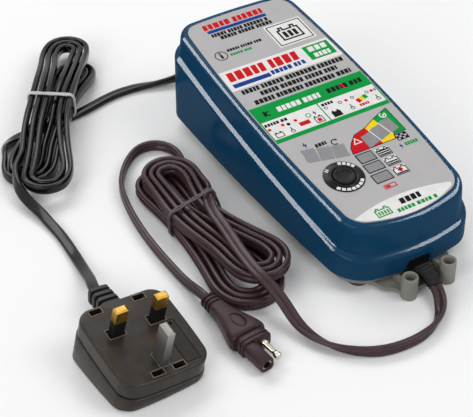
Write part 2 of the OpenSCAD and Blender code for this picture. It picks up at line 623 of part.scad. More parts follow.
// Plug, lying on its sloped back. Its face looks up and leans to the earth pin.
line_y = 6.5;
earth_y = line_y - pin_pitch;
sleeve_h = 9.5;
module in_plug() {
  translate([plug_x, plug_y, plug_z]) rotate([plug_tilt, plug_roll, plug_yaw]) children();
}
function plug_ring(o, z) = let(hw = plug_w / 2 + o, hl = plug_l / 2 + o)
  [for (p = bowed(rounded(hw, hl, 8 + o), hw, hl, 0.8, 1.2, 0)) [p.x, p.y, z]];
module pin_bar(w, t, z0, z1, c) {
  intersection() {
    rotate([90, 0, 0]) linear_extrude(t, center = true) polygon([[-w / 2, z0], [w / 2, z0],
      [w / 2, z1 - c], [w / 2 - c, z1], [c - w / 2, z1], [-w / 2, z1 - c]]);
    rotate([90, 0, 90]) linear_extrude(w, center = true) polygon([[-t / 2, z0], [t / 2, z0],
      [t / 2, z1 - c], [t / 2 - c, z1], [c - t / 2, z1], [-t / 2, z1 - c]]);
  }
}
module at_line_pins() {
  for (s = [-1, 1]) translate([s * pin_pitch / 2, line_y, 0]) children();
}
carrier_w = 7.4;
carrier_l = 25.6;
carrier_x = 14.6;
carrier_y = line_y - 3.1 - carrier_l / 2;
latches = [[-13.5, 22], [10.4, 22], [-4.9, -22.6], [7, -22.6]];
carrier_h = 8.4;
module plug_base() {
  color("#2b2826") in_plug() difference() {
    skin([plug_ring(0, -plug_base_h), plug_ring(0, -1.2), plug_ring(-0.3, -0.5),
      plug_ring(-1, 0)]);
    at_line_pins() translate([-4.2, -2.2, -0.8]) cube([8.4, 5.4, 2]);
    for (p = latches) translate([p.x - 2.5, p.y - 1.3, -2]) cube([5, 2.6, 4]);
    at_line_pins() translate([-3.3, -2.15, -20]) cube([6.6, 4.3, 40]);
    translate([-2.1, earth_y - 4.1, -20]) cube([4.2, 8.2, 40]);
    translate([carrier_x - carrier_w / 2 - move_gap, carrier_y - carrier_l / 2 - move_gap, -20])
      cube([carrier_w + 2 * move_gap, carrier_l + 2 * move_gap, 40]);
  }
}
module plug_cover() {
  color("#2b2826") difference() {
    in_plug() skin([plug_ring(0.5, -30), plug_ring(0.5, -plug_base_h - 0.8),
      plug_ring(-1, -plug_base_h - 0.7), plug_ring(-1, -plug_base_h)]);
    translate([plug_x - 60, plug_y - 60, -40]) cube([120, 120, 40]);
  }
}
module line_pins() {
  color("#c8a24a") in_plug() at_line_pins() {
    pin_bar(6.35, 4, sleeve_h, 17.7, 0.8);
    translate([-2.5, -1.3, -plug_base_h]) cube([5, 2.6, plug_base_h + sleeve_h + 1]);
  }
}
module pin_sleeves() {
  color("#161616") in_plug() at_line_pins() difference() {
    translate([-3.175, -2, -plug_base_h]) cube([6.35, 4, plug_base_h + sleeve_h]);
    translate([-2.55, -1.35, -20]) cube([5.1, 2.7, 40]);
  }
}
module earth_pin() {
  color("#8e8c88") in_plug() translate([0, earth_y, 0]) pin_bar(4, 8, -plug_base_h, 22.7, 1);
}
module fuse_carrier() {
  color("#33261f") in_plug() translate([carrier_x, carrier_y, 0]) difference() {
    translate([-carrier_w / 2, -carrier_l / 2, -carrier_h]) cube([carrier_w, carrier_l, carrier_h]);
    translate([0, 12.4, -5]) rotate([90, 0, 0]) cylinder(r = 3.2, h = 24.8);
    translate([-2.6, -12.4, -20]) cube([5.2, 24.8, 15]);
    translate([-2, carrier_l / 2 - 3, -0.8]) cube([4, 2, 2]);
  }
}
module plug_fuse() {
  color("#d8d2c2") in_plug() translate([carrier_x, carrier_y + 12.35, -5]) rotate([90, 0, 0])
    cylinder(r = 3.15, h = 24.7);
}
// Sleeve of square plates at the plug: it points down to the floor.
function chamfered(w, h, c) = [[w - c, -h], [w, c - h], [w, h - c], [w - c, h],
  [c - w, h], [-w, h - c], [-w, c - h], [c - w, -h]];
module plug_strain_relief() {
  color("#1d1b1a") difference() {
    translate(relief_root) rotate([0, plug_roll, 0]) rotate([-90 - relief_fall, 0, 0]) {
      translate([0, 0, -3]) linear_extrude(relief_l + 3) polygon(chamfered(3.8, 3, 0.8));
      translate([0, 0, -3]) linear_extrude(11) polygon(chamfered(5.9, 4.9, 1.2));
      for (i = [0:2]) translate([0, 0, 9.5 + 4.5 * i]) linear_extrude(3)
        polygon(chamfered(5.8 - 0.1 * i, 4.8 - 0.1 * i, 1.2));
    }
    in_plug() translate([-40, plug_l / 2 - 59.5, -60]) cube([80, 60, 120]);
  }
}

// Two-pole connector, lying flat: one contact bare, one inside a nose.
conn_relief = 8.5;
conn_l = 35.5;
collar_l = 6.2;
CONN = [[-8.5, 4.4, 4], [-12, 4.7, 4.3], [-16, 5.3, 4.7], [-20, 6.4, 5.1], [-24, 7.7, 5.5],
  [-28, 9, 5.8], [-31.5, 9.9, 6], [-34, 10.1, 6], [-35.5, 9.5, 5.7]];
function conn_ring(c) = [for (i = [0:27]) let(a = 360 * i / 28)
  [c[1] * sign(cos(a)) * pow(abs(cos(a)), 0.6), c[0], c[2] * sign(sin(a)) * pow(abs(sin(a)), 0.6)]];
module in_conn(x, y) {
  translate([conn_x, conn_y, conn_z]) rotate(conn_yaw) translate([x, -y, 0]) children();
}
module connector_body() {
  color("#1b1718") in_conn(0, 0) difference() {
    skin([for (c = CONN) conn_ring(c)]);
    translate([0, -26.5, 4.6]) linear_extrude(4)
      polygon([for (i = [0:31]) [3.4 * cos(11.25 * i), 6 * sin(11.25 * i)]]);
  }
}
module connector_strain_relief() {
  color("#1b1718") in_conn(0, 0) rotate([90, 0, 0]) rotate_extrude()
    polygon(concat([[0, 0], [3.5, 0]], [for (i = [0:2]) each let(z = 0.6 + 2.6 * i, r = 4.2 + 0.15 * i)
      [[r, z], [r, z + 1.5], [r - 1, z + 1.5], [r - 1, z + 2.6]]], [[4.2, conn_relief], [0, conn_relief]]));
}
module connector_collar() {
  color("#1b1718") in_conn(0, conn_l) rotate([90, 0, 0]) {
    linear_extrude(collar_l) polygon(rounded(contact_dx / 2 + 3.9, 4.6, 4.2));
    for (z = [2.5, 4.8]) translate([0, 0, z]) linear_extrude(1.4)
      polygon(rounded(contact_dx / 2 + 4.7, 5.2, 4.6));
  }
}
module connector_nose() {
  color("#1b1718") in_conn(-contact_dx / 2, conn_l + collar_l) rotate([90, 0, 0]) difference() {
    cylinder(r = nose_r, h = nose_l);
    translate([0, 0, 1]) cylinder(r = contact_r + 0.75, h = nose_l);
  }
}
module socket_terminal() {
  color("#c0bcb2") in_conn(-contact_dx / 2, conn_l + collar_l + 1) rotate([90, 0, 0]) difference() {
    cylinder(r = contact_r + 0.7, h = nose_l - 1.6);
    translate([0, 0, 1]) cylinder(r = contact_r + 0.05, h = nose_l);
  }
}
module connector_pin() {
  color("#c0bcb2") in_conn(contact_dx / 2, conn_l + collar_l) rotate([90, 0, 0]) {
    cylinder(r = contact_r, h = contact_l - contact_r);
    translate([0, 0, contact_l - contact_r]) sphere(r = contact_r);
  }
}

top_cover();
base_tray();
label_overlay();
indicator_windows();
button_bezel();
tune_button();
switch_actuator();
rubber_feet();
case_screws();
main_board();
board_screws();
input_fuse();
line_choke();
x_capacitor();
bridge_rectifier();
bulk_capacitor();
transformer_core();
transformer_winding();
switch_heatsink();
power_transistors();
output_heatsink();
output_diode();
output_choke();
output_capacitors();
output_relay();
controller_chip();
display_board();
display_link();
status_leds();
tact_switch();
mains_gland();
dc_gland();
mains_tails();
dc_tails();
mains_lead_inner();
mains_hank();
mains_lead_outer();
mains_tie();
plug_base();
plug_cover();
plug_strain_relief();
line_pins();
pin_sleeves();
earth_pin();
fuse_carrier();
plug_fuse();
dc_lead_inner();
dc_hank();
dc_lead_outer();
dc_tie();
connector_body();
connector_strain_relief();
connector_collar();
connector_nose();
connector_pin();
socket_terminal();
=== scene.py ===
"""Looks of a battery charger with its mains lead and battery lead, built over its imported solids."""

import math

import bpy
import numpy as np
from bpy.props import FloatProperty, FloatVectorProperty, PointerProperty
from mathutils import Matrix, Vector


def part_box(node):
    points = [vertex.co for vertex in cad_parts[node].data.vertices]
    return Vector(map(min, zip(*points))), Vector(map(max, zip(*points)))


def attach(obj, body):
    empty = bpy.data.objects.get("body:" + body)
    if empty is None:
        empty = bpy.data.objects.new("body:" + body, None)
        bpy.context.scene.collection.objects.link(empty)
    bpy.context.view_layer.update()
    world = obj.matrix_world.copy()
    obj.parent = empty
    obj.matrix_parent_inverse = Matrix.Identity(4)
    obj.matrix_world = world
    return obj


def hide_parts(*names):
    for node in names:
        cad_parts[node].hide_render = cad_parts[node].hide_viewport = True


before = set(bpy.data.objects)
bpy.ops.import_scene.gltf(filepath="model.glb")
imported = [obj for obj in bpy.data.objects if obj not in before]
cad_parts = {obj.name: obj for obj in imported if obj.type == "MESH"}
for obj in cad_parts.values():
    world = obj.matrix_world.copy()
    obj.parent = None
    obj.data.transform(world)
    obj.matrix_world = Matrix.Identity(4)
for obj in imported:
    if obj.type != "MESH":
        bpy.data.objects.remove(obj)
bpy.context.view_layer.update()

bl_info = {
    "name": "Battery charger",
    "version": (1, 0, 0),
    "blender": (4, 5, 0),
    "location": "View3D > Sidebar > Charger",
    "description": "Builds the charger's case, label, leads, plug and connector and their finishes",
    "category": "Add Mesh",
}

MM = 0.001
X, Y, Z = 0, 1, 2


def linear(code):
    """A colour as sRGB hex, turned to linear red, green, blue and alpha 1."""
    c = np.array([int(code[i:i + 2], 16) for i in (1, 3, 5)]) / 255
    return (*np.where(c <= 0.04045, c / 12.92, ((c + 0.055) / 1.055) ** 2.4).tolist(), 1.0)


def tint(name, note, code):
    """A colour setting with a hex code as its default."""
    return FloatVectorProperty(name=name, description=note, subtype="COLOR", size=4, min=0, max=1,
                               default=linear(code))


def measure(name, note, metres):
    """A length setting."""
    return FloatProperty(name=name, description=note, default=metres, unit="LENGTH")


class ChargerSizes(bpy.types.PropertyGroup):
    lead_step: measure("Lead step", "Distance between the rings of a lead", 0.0011)
    mains_width: measure("Mains lead width", "Wide side of the flat mains lead", 0.006)
    mains_thick: measure("Mains lead thickness", "Thin side of the flat mains lead", 0.0034)
    battery_width: measure("Battery lead width", "Wide side of the twin lead", 0.0066)
    battery_thick: measure("Battery lead thickness", "Thin side of the twin lead", 0.0032)
    tie_wire: measure("Tie wire", "Radius of the tie's coated wire", 0.0006)
    ink: measure("Ink height", "Height of the print over the film", 0.00004)
    floor_size: measure("Floor", "Side of the floor sheet", 6.0)


class ChargerColours(bpy.types.PropertyGroup):
    cover: tint("Cover", "Gloss cover of the case", "#123e5d")
    base: tint("Base", "Grey base tray", "#7e7d76")
    film: tint("Film", "Label film between the print", "#b4b2b3")
    mains: tint("Mains lead", "Jacket of the mains lead", "#0c0d0e")
    battery: tint("Battery lead", "Jacket of the battery lead", "#412f33")
    plug: tint("Plug", "Moulded plug halves", "#2e2823")
    brass: tint("Brass", "Line pins of the plug", "#dcae50")
    floor: tint("Floor", "Floor sheet", "#fafafa")


def sizes():
    return bpy.context.scene.charger_sizes


def colours():
    return bpy.context.scene.charger_colours


def add(tree, kind, links=None, **settings):
    """Adds a node. A setting is an input's value or a property by name, a link is input: output socket."""
    node = tree.nodes.new(kind)
    for key, value in settings.items():
        if key in node.inputs:
            node.inputs[key].default_value = value
        else:
            setattr(node, key, value)
    for key, source in (links or {}).items():
        tree.links.new(source, node.inputs[key])
    return node


def shade(colour, factor):
    """A colour made darker or lighter by a factor, alpha kept."""
    return tuple(min(1.0, c * factor) for c in colour[:3]) + (1.0,)


def blank(name):
    """An empty material, its node tree, and the place on the piece that its patterns read."""
    mat = bpy.data.materials.new(name)
    mat.use_nodes = True
    mat.node_tree.nodes.clear()
    return mat, mat.node_tree, add(mat.node_tree, "ShaderNodeTexCoord").outputs["Object"]


def moulded(name, colour, grain=0.6, cloud=9.0, spread=0.12, rough=(0.35, 0.5), bump=0.02,
            stretch=(1, 1, 1), gloss=None, **shader):
    """A body-coloured material, its colour a hex code or linear values: slow clouds of `cloud` mm shift the
    colour by `spread`, fine grain of `grain` mm roughens the surface between the two values and lifts it by
    `bump` mm, and `gloss` sets how strongly it mirrors."""
    colour = linear(colour) if isinstance(colour, str) else colour
    mat, tree, place = blank(name)
    turn = add(tree, "ShaderNodeMapping", {"Vector": place}, Scale=stretch).outputs["Vector"]
    # One noise cell is about one grain, so the scale per metre is 1000 over the grain in mm.
    slow = add(tree, "ShaderNodeTexNoise", {"Vector": turn}, Scale=1000 / cloud, Detail=3.0)
    fine = add(tree, "ShaderNodeTexNoise", {"Vector": turn}, Scale=1000 / grain, Detail=2.0)
    ramp = add(tree, "ShaderNodeValToRGB", {"Fac": slow.outputs["Fac"]})
    for stop, at, factor in zip(ramp.color_ramp.elements, (0.3, 0.7), (1 - spread, 1 + spread)):
        stop.position, stop.color = at, shade(colour, factor)
    sheen = add(tree, "ShaderNodeMapRange", {"Value": fine.outputs["Fac"]},
                **{"From Min": 0.3, "From Max": 0.7, "To Min": rough[0], "To Max": rough[1]})
    links = {"Base Color": ramp.outputs["Color"], "Roughness": sheen.outputs["Result"]}
    if bump:
        lift = add(tree, "ShaderNodeBump", {"Height": fine.outputs["Fac"]}, Strength=0.6,
                   Distance=bump * MM)
        links["Normal"] = lift.outputs["Normal"]
    if gloss is not None:
        shader["Specular IOR Level"] = gloss
    body = add(tree, "ShaderNodeBsdfPrincipled", links, **shader)
    add(tree, "ShaderNodeOutputMaterial", {"Surface": body.outputs["BSDF"]})
    return mat


# Surfaces

def grid(rows, cols, wrap_rows=False):
    """Four-sided faces over rows of points, each row closed to a ring."""
    i, j = np.meshgrid(np.arange(rows - (0 if wrap_rows else 1)), np.arange(cols), indexing="ij")
    k, m = (i + 1) % rows, (j + 1) % cols
    return np.stack([i * cols + j, i * cols + m, k * cols + m, k * cols + j], -1).reshape(-1, 4)


def loft(rings, caps=True, wrap=False):
    """A closed skin over rings of equal count: faces between neighbours, and a flat cap at each end."""
    rings = np.asarray(rings, float)
    n, m = rings.shape[:2]
    faces = grid(n, m, wrap).tolist()
    if caps and not wrap:
        faces += [list(range(m))[::-1], list(range((n - 1) * m, n * m))]
    return outward(rings.reshape(-1, 3), faces)


def outward(verts, faces):
    """Turns the faces over when the volume summed over their fans is negative."""
    vol = 0.0
    for size in {len(f) for f in faces}:
        f = np.array([x for x in faces if len(x) == size])
        p = verts[f] - verts.mean(0)
        a, b, c = p[:, :1], p[:, 1:-1], p[:, 2:]
        vol += np.einsum("ijk,ijk->", np.broadcast_to(a, b.shape), np.cross(b, c))
    return (verts, faces) if vol > 0 else (verts, [f[::-1] for f in faces])


def joined(parts):
    """Several closed skins as one list of points and faces."""
    verts, faces, start = [], [], 0
    for v, f in parts:
        verts.append(v)
        faces += [[k + start for k in face] for face in f]
        start += len(v)
    return np.concatenate(verts), faces


def solid(name, part, material, angle=35):
    """Puts points in millimetres and faces into a mesh object at the origin, smooth up to an angle."""
    verts, faces = part
    mesh = bpy.data.meshes.new(name)
    mesh.from_pydata((np.asarray(verts) * MM).tolist(), [], faces)
    mesh.validate()
    mesh.shade_smooth()
    mesh.set_sharp_from_angle(angle=math.radians(angle))
    if material:
        mesh.materials.append(material)
    obj = bpy.data.objects.new(name, mesh)
    bpy.context.scene.collection.objects.link(obj)
    return obj


def cut(obj, part, angle=35):
    """Takes the closed skins of `part` out of an object and keeps the result as its mesh."""
    tool = solid("cutter", part, None)
    mod = obj.modifiers.new("cut", "BOOLEAN")
    mod.object, mod.operation, mod.solver = tool, "DIFFERENCE", "EXACT"
    deps = bpy.context.evaluated_depsgraph_get()
    mesh = bpy.data.meshes.new_from_object(obj.evaluated_get(deps))
    obj.modifiers.clear()
    old, obj.data = obj.data, mesh
    mesh.name = obj.name
    bpy.data.meshes.remove(old)
    bpy.data.objects.remove(tool)
    mesh.shade_smooth()
    mesh.set_sharp_from_angle(angle=math.radians(angle))


def settle(obj, slot, *nodes, body="charger"):
    """Rides a piece on a body and hides the solids that it stands for; slot is not used."""
    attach(obj, body)
    if nodes:
        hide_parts(*nodes)
    return obj


def box(x0, y0, z0, x1, y1, z1):
    """A block between two corners."""
    ring = np.array([[x0, y0], [x1, y0], [x1, y1], [x0, y1]], float)
    return prism(ring, z0, z1)


def prism(outline, z0, z1):
    """An outline in x and y carried straight up from z0 to z1."""
    outline = np.asarray(outline, float)
    rings = [np.column_stack([outline, np.full(len(outline), z)]) for z in (z0, z1)]
    return loft(rings)


def lathe(profile, count=48, closed=False):
    """A profile of radius and height turned about the z axis; closed when the profile is a ring."""
    profile = np.asarray(profile, float)
    a = np.arange(count) * 2 * np.pi / count
    rings = np.stack([np.outer(profile[:, 0], np.cos(a)), np.outer(profile[:, 0], np.sin(a)),
                      np.repeat(profile[:, 1:], count, 1)], -1)
    return loft(rings, wrap=closed)


def moved(part, turn=np.eye(3), shift=(0, 0, 0)):
    """A part turned about the origin, then shifted."""
    return np.asarray(part[0]) @ np.asarray(turn).T + np.asarray(shift, float), part[1]


def about(axis, degrees):
    """A turn by degrees about the axis X, Y or Z."""
    c, s = math.cos(math.radians(degrees)), math.sin(math.radians(degrees))
    i, j = (axis + 1) % 3, (axis + 2) % 3
    turn = np.eye(3)
    turn[i, i], turn[i, j], turn[j, i], turn[j, j] = c, -s, s, c
    return turn


def cubic(t, a, b, slope_a, slope_b):
    """A cubic from a to b while t goes from 0 to 1, with given slopes at both ends."""
    return ((2 * t**3 - 3 * t**2 + 1) * a + (t**3 - 2 * t**2 + t) * slope_a
            + (3 * t**2 - 2 * t**3) * b + (t**3 - t**2) * slope_b)


def curved(rows, per=4):
    """Rows of points carried through a smooth curve: a cubic between neighbours, whose slopes weigh both
    sides by the root of their distance. Long steps get extra rows near their ends, so they stay straight."""
    rows = np.asarray(rows, float)
    out = [rows[0]]
    for a, b in zip(rows[:-1], rows[1:]):
        size = np.linalg.norm(b - a, axis=-1).mean()
        if size > 4:
            out += [a + (b - a) * 1.3 / size, b + (a - b) * 1.3 / size]
        out.append(b)
    p = np.array(out)
    h = np.sqrt(np.linalg.norm(np.diff(p, axis=0), axis=-1).reshape(len(p) - 1, -1).mean(1))
    h = h.reshape((-1,) + (1,) * (p.ndim - 1))
    slope = np.diff(p, axis=0) / h
    inner = (slope[1:] * h[:-1] + slope[:-1] * h[1:]) / (h[1:] + h[:-1])
    m = np.concatenate([slope[:1], inner, slope[-1:]])
    t = (np.arange(per) / per).reshape((1, per) + (1,) * (p.ndim - 1))
    a, b, ma, mb, h = p[:-1, None], p[1:, None], m[:-1, None], m[1:, None], h[:, None]
    return np.concatenate([cubic(t, a, b, h * ma, h * mb).reshape((-1,) + p.shape[1:]), p[-1:]])


# A ring's columns: each has the corner that it belongs to, or a place between two, and a direction.
CORNERS = np.array([[1, 1], [-1, 1], [-1, -1], [1, -1]], float)


def ring_columns(corner, short, long):
    """Corner signs and directions round a rectangle with round corners, as two arrays."""
    centre, angle = [], []
    for k in range(4):
        centre.append(np.repeat(CORNERS[k:k + 1], corner + 1, 0))
        angle.append(90 * k + np.linspace(0, 90, corner + 1))
        n = short if k % 2 == 0 else long
        t = (np.arange(1, n) / n)[:, None]
        centre.append(CORNERS[k] * (1 - t) + CORNERS[(k + 1) % 4] * t)
        angle.append(np.full(n - 1, 90 * (k + 1)))
    a = np.radians(np.concatenate(angle))
    return np.concatenate(centre), np.column_stack([np.cos(a), np.sin(a)])


def bowed_ring(hw, hl, r, side, front, back, columns):
    """A rectangle with round corners whose edges swell by a parabola, highest at their middle."""
    centre, way = columns
    p = centre * [hw - r, hl - r] + way * r
    x = p[:, 0] * (1 + side / hw * (1 - (p[:, 1] / hl) ** 2))
    y = p[:, 1] * (1 + np.where(p[:, 1] < 0, front, back) / hl * (1 - (p[:, 0] / hw) ** 2))
    return np.column_stack([x, y])


CASE_COLUMNS = ring_columns(14, 24, 60)
LABEL_Z, LABEL_TILT, LEDGE_Z, LEDGE_TILT = 51.0, 7.5, 36.0, 9.0
# The label's half width, half length and middle, how far its sides swell, and the film's half width midway.
LABEL_WIDE, LABEL_LONG, LABEL_Y, LABEL_BOW, FILM_WIDE = 33, 83.65, 2.35, 3.8, 36.3
FLARE, NOTCH_Y = 7.5, 89


def case_ring(o):
    """The case's outline at an offset out from the label's edge; the bow eases to that of the skirt."""
    m = min(1.0, max(0.0, o / FLARE))
    ring = bowed_ring(LABEL_WIDE + o, LABEL_LONG + o, 7 + o, LABEL_BOW - 1.3 * m, 7.5 - 1.3 * m, 1.5, CASE_COLUMNS)
    return ring + [0, LABEL_Y]


def level(o, plane, dz):
    """A ring at an offset, dz over the floor, over the sloped ledge or over the sloped label."""
    ring = case_ring(o)
    slope = (0, math.tan(math.radians(LEDGE_TILT)), math.tan(math.radians(LABEL_TILT)))[plane]
    z = (0, LEDGE_Z, LABEL_Z)[plane] + slope * ring[:, 1] + dz
    return np.column_stack([ring, z])


# Rings of the case: offset from the label's edge, plane (0 floor, 1 ledge, 2 label), height over that plane.
COVER_OUT = [[7.5, 0, 9], [7.4, 1, -2.9], [7.1, 1, -1.75], [6.6, 1, -1], [6, 1, -.45], [5.4, 1, .05], [5, 1, .5],
             [4.75, 1, 1.3], [4.6, 1, 2.6], [3.85, 2, -3], [3.6, 2, -1.8], [3.1, 2, -.8], [2.5, 2, -.1],
             [1.8, 2, .4], [1.1, 2, .6], [.5, 2, .6], [.15, 2, .45], [0, 2, 0]]
COVER_IN = [[.3, 2, -2.4], [1.3, 2, -3.6], [1.8, 1, -1], [4.95, 1, -2.8], [5.1, 0, 9]]
BASE_OUT = [[.2, 0, 1.5], [1.2, 0, 1.6], [2.6, 0, 2.6], [3.8, 0, 4.4], [4.5, 0, 7], [4.7, 0, 9], [4.7, 0, 13]]
BASE_IN = [[2.9, 0, 13], [2.9, 0, 7.5], [1.6, 0, 4.6], [0, 0, 3.6]]
CASE_POSTS = [(-31, -62), (31, -62), (-31, 62), (31, 62)]
EAR_X, EAR_Y, EAR_HOLE = 12.0, 103.5, 2.6
TONGUE = [[15.5, 33.5], [15.2, 19.5], [12.9, 16.5], [11.3, 14.5], [10.3, 12], [9.7, 9.5], [8, 7.5],
          [5.4, 5.7], [4.2, 3.7], [4.1, 0]]
NOTCH = curved(np.array([[8.2, 4], [8.1, 9], [7, 12.6], [6.2, 13.9], [4.8, 14.5], [0, 14.6], [-4.8, 14.5],
                         [-6.2, 13.9], [-7, 12.6], [-8.1, 9], [-8.2, 4]]), 3)
BUTTON = (-18.5, -52.5)
ON_LABEL = about(X, LABEL_TILT)


def on_label(part):
    """Carries a part from level to the sloped label."""
    return moved(part, ON_LABEL, (0, 0, LABEL_Z))


# Leads

def hank_points(h):
    """The middle line of a hank. Turn t runs up the right run, over the top fold, down the left run and
    round the bottom fold; the loops step in to the middle turn, climb a layer there and step out again."""
    t = np.arange(round(24 * h["n"]) + 1) / 24
    f = (h["f0"] + t) % 1
    k = np.abs(h["mid"] - t)
    m = np.clip((t - h["mid"] - h["late"]) / 0.11 + 0.5, 0, 1)
    m = m * m * (3 - 2 * m)
    mix = lambda a, b, w: a + (b - a) * w
    rt, rb = h["fold"][0] + h["step"][0] * k, h["fold"][1] + h["step"][1] * k
    top = h["reach"][0] + mix(h["dr"][0][0], h["dr"][1][0], m)
    bot = h["reach"][1] + mix(h["dr"][0][1], h["dr"][1][1], m)
    q, g = np.floor(4 * f).astype(int), (4 * f) % 1
    a = np.pi * g
    u = np.choose(q, [mix(-bot, top, g), top + rt * np.sin(a), mix(top, -bot, g), -bot - rb * np.sin(a)])
    x = np.minimum(1, np.abs(u) / np.where(u > 0, top, bot))
    w = (1 - x * x) ** 2
    lobe = mix(rb, rt, np.clip((u + bot) / (top + bot), 0, 1))
    half = mix(lobe, h["wq"][0] + h["wq"][1] * k, w)
    v = np.choose(q, [half, rt * np.cos(a), -half, -rb * np.cos(a)])
    side = np.where(u > 0, mix(h["side"][0][0], h["side"][1][0], m), mix(h["side"][0][1], h["side"][1][1], m))
    v = v + side * (1 - w)
    z = mix(*h["z"], m) + h["lift"][0] * np.exp(-(u / h["lift"][1]) ** 4)
    c, s = math.cos(math.radians(h["turn"])), math.sin(math.radians(h["turn"]))
    p = np.column_stack([h["c"][0] + u * c + v * s, h["c"][1] + u * s - v * c, z])
    a, b = p[0] - p[1], p[-1] - p[-2]
    return np.vstack([p[0] + a / np.linalg.norm(a) * h["wide"], p, p[-1] + b / np.linalg.norm(b) * h["wide"]])


# A hank: n turns, the first starting f0 of a turn on; mid is the inmost turn, and there, late turns later, the
# lead climbs from one height of z to the other. In mm: reach of the top and bottom fold from the middle c, radii
# of the inmost folds and their step per turn, half width and step at the waist wq, and for each layer the shift
# of its ends sideways and outwards, side and dr. lift raises the waist, over a length; the lead runs on by its
# width, wide, at both ends; turn is in degrees.
MAINS_HANK = dict(n=5 - 1 / 24, f0=.745, mid=2.38, reach=(52, 53), fold=(3.6, 5), step=(4, 4.1),
                  wq=(1.2, 4.4), z=(3, 10.1), side=((5, -5), (-2, 7)), dr=((-8, -6.5), (7, 9.5)),
                  lift=(5.2, 40), c=(-99.3, 124), turn=54, late=0, wide=6)
BATTERY_HANK = dict(n=6, f0=.21, mid=2.915, reach=(40, 45), fold=(3.4, 6), step=(3.85, 4.15),
                    wq=(1.1, 4.45), z=(11, 3.3), side=((4, 10), (0, 0)), dr=((-6, 3), (-3, 8)),
                    lift=(1.6, 30), c=(-78, -2), turn=90, late=.03, wide=6.6)
# Middle lines from the case to the hank and on to the end piece, and the roll of the lead's section in degrees.
MAINS_IN = [(0, 106, 9.5), (-1.3, 112, 8.6), (-5, 116.8, 7.2), (-10.5, 119.8, 5.6), (-18, 121.6, 4.2),
            (-26, 123.6, 3.2), (-34, 126.2, 2.4), (-43, 128.4, 1.9), (-53, 129, 1.8), (-63, 127.8, 1.8),
            (-74, 125, 1.8), (-86, 122.4, 1.8), (-98, 121, 1.8), (-110, 120.4, 1.8), (-119, 120, 1.8),
            (-126, 118.9, 1.8), (-131.4, 116.6, 2.2), (-135, 113.2, 3.2), (-137.3, 109.2, 4.2)]
MAINS_ROLL = [0, 0, 0, 0, 15, 40, 65, 85, 90, 90, 90, 90, 90, 90, 90, 85, 65, 40, 12]
MAINS_OUT = [(-141, 84.6, 9.9), (-145, 76.6, 9), (-146.6, 68, 7.6), (-146, 59.2, 5.7),
             (-144, 50.2, 3.9), (-142.7, 41, 2.4), (-141.9, 30, 1.8), (-142.3, 18, 1.8), (-143.3, 6, 2.1),
             (-145, -6, 4), (-147.2, -17, 7.2), (-149.76, -29.55, 9.97)]
MAINS_OUT_ROLL = [0, 15, 40, 65, 85, 90, 90, 90, 90, 90, 90, 90]
BATTERY_IN = [(0, -98, 9.5), (0, -105.5, 8), (-1.5, -114, 5.6), (-6.5, -122.5, 3.9), (-14, -129, 3.4),
              (-25, -133, 3.4), (-37, -133.5, 3.4), (-49, -131, 3.4), (-59.5, -124.5, 3.4),
              (-67.4, -115.5, 3.6), (-72, -106, 4.3), (-74.2, -96, 6.2), (-74.9, -85.5, 10.6),
              (-76.4, -74.5, 15), (-77.4, -63, 16.5), (-76.8, -51, 16.6), (-75.8, -41, 16.8),
              (-74.7, -32, 17.2), (-74, -24, 17.8), (-73.4, -17, 18.1), (-72.3, -10.4, 18.2),
              (-70.5, -5, 18.2), (-67.8, -.6, 17.9), (-64.9, 3.1, 16.4), (-62.6, 7.3, 14.3)]
BATTERY_ROLL = [90, 90, 80, 50, 20, 0, 0, 0, 15, 40, 65, 85] + [90] * 10 + [82, 60, 25]
BATTERY_OUT = [(-60.4, 36.6, 3.4), (-57.2, 46, 3.4), (-55.2, 55.4, 3.4), (-56.6, 64, 3.4), (-62, 70.2, 3.4),
               (-70.4, 71.6, 3.4), (-79.5, 67.2, 3.4), (-88.2, 58.6, 3.4), (-95, 48.6, 3.4), (-99.8, 35, 3.4),
               (-102.8, 20, 3.4), (-104.6, 4, 3.4), (-105.3, -12, 3.5), (-105.2, -28, 3.6),
               (-104.5, -43, 4.2), (-103.2, -57.5, 6)]


def spline(points, first, last, step):
    """A smooth line through points, near-evenly stepped: piecewise cubics over the chord length with equal
    slope and bend where they meet, and a given direction at both ends. Gives places and the chord length."""
    p = np.asarray(points, float)
    h = np.linalg.norm(np.diff(p, axis=0), axis=1)
    n = len(p)
    a = np.zeros((n, n))
    i = np.arange(1, n - 1)
    a[i, i - 1], a[i, i], a[i, i + 1] = h[1:], 2 * (h[1:] + h[:-1]), h[:-1]
    a[0, 0] = a[-1, -1] = 1
    d = np.diff(p, axis=0) / h[:, None]
    b = np.zeros_like(p)
    b[1:-1] = 3 * (d[:-1] * h[1:, None] + d[1:] * h[:-1, None])
    b[0], b[-1] = first, last
    m = np.linalg.solve(a, b)
    x = np.concatenate([[0], np.cumsum(h)])
    s = np.linspace(0, x[-1], int(x[-1] / step) + 1)
    k = np.clip(np.searchsorted(x, s, "right") - 1, 0, n - 2)
    t = ((s - x[k]) / h[k])[:, None]
    hk = h[k][:, None]
    return cubic(t, p[k], p[k + 1], hk * m[k], hk * m[k + 1]), s, x


def lead_section(wide, thin, groove, count=20):
    """A flat lead's section: two round cores side by side, their skin drawn in by `groove` between them."""
    a = np.arange(count) * 2 * np.pi / count
    c, s = np.cos(a), np.sin(a)
    y = wide / 2 * np.sign(s) * np.abs(s) ** 0.85
    x = thin / 2 * np.sign(c) * np.abs(c) ** 0.6 * (1 - groove * np.exp(-(y / (0.13 * wide)) ** 2))
    return np.column_stack([x, y])


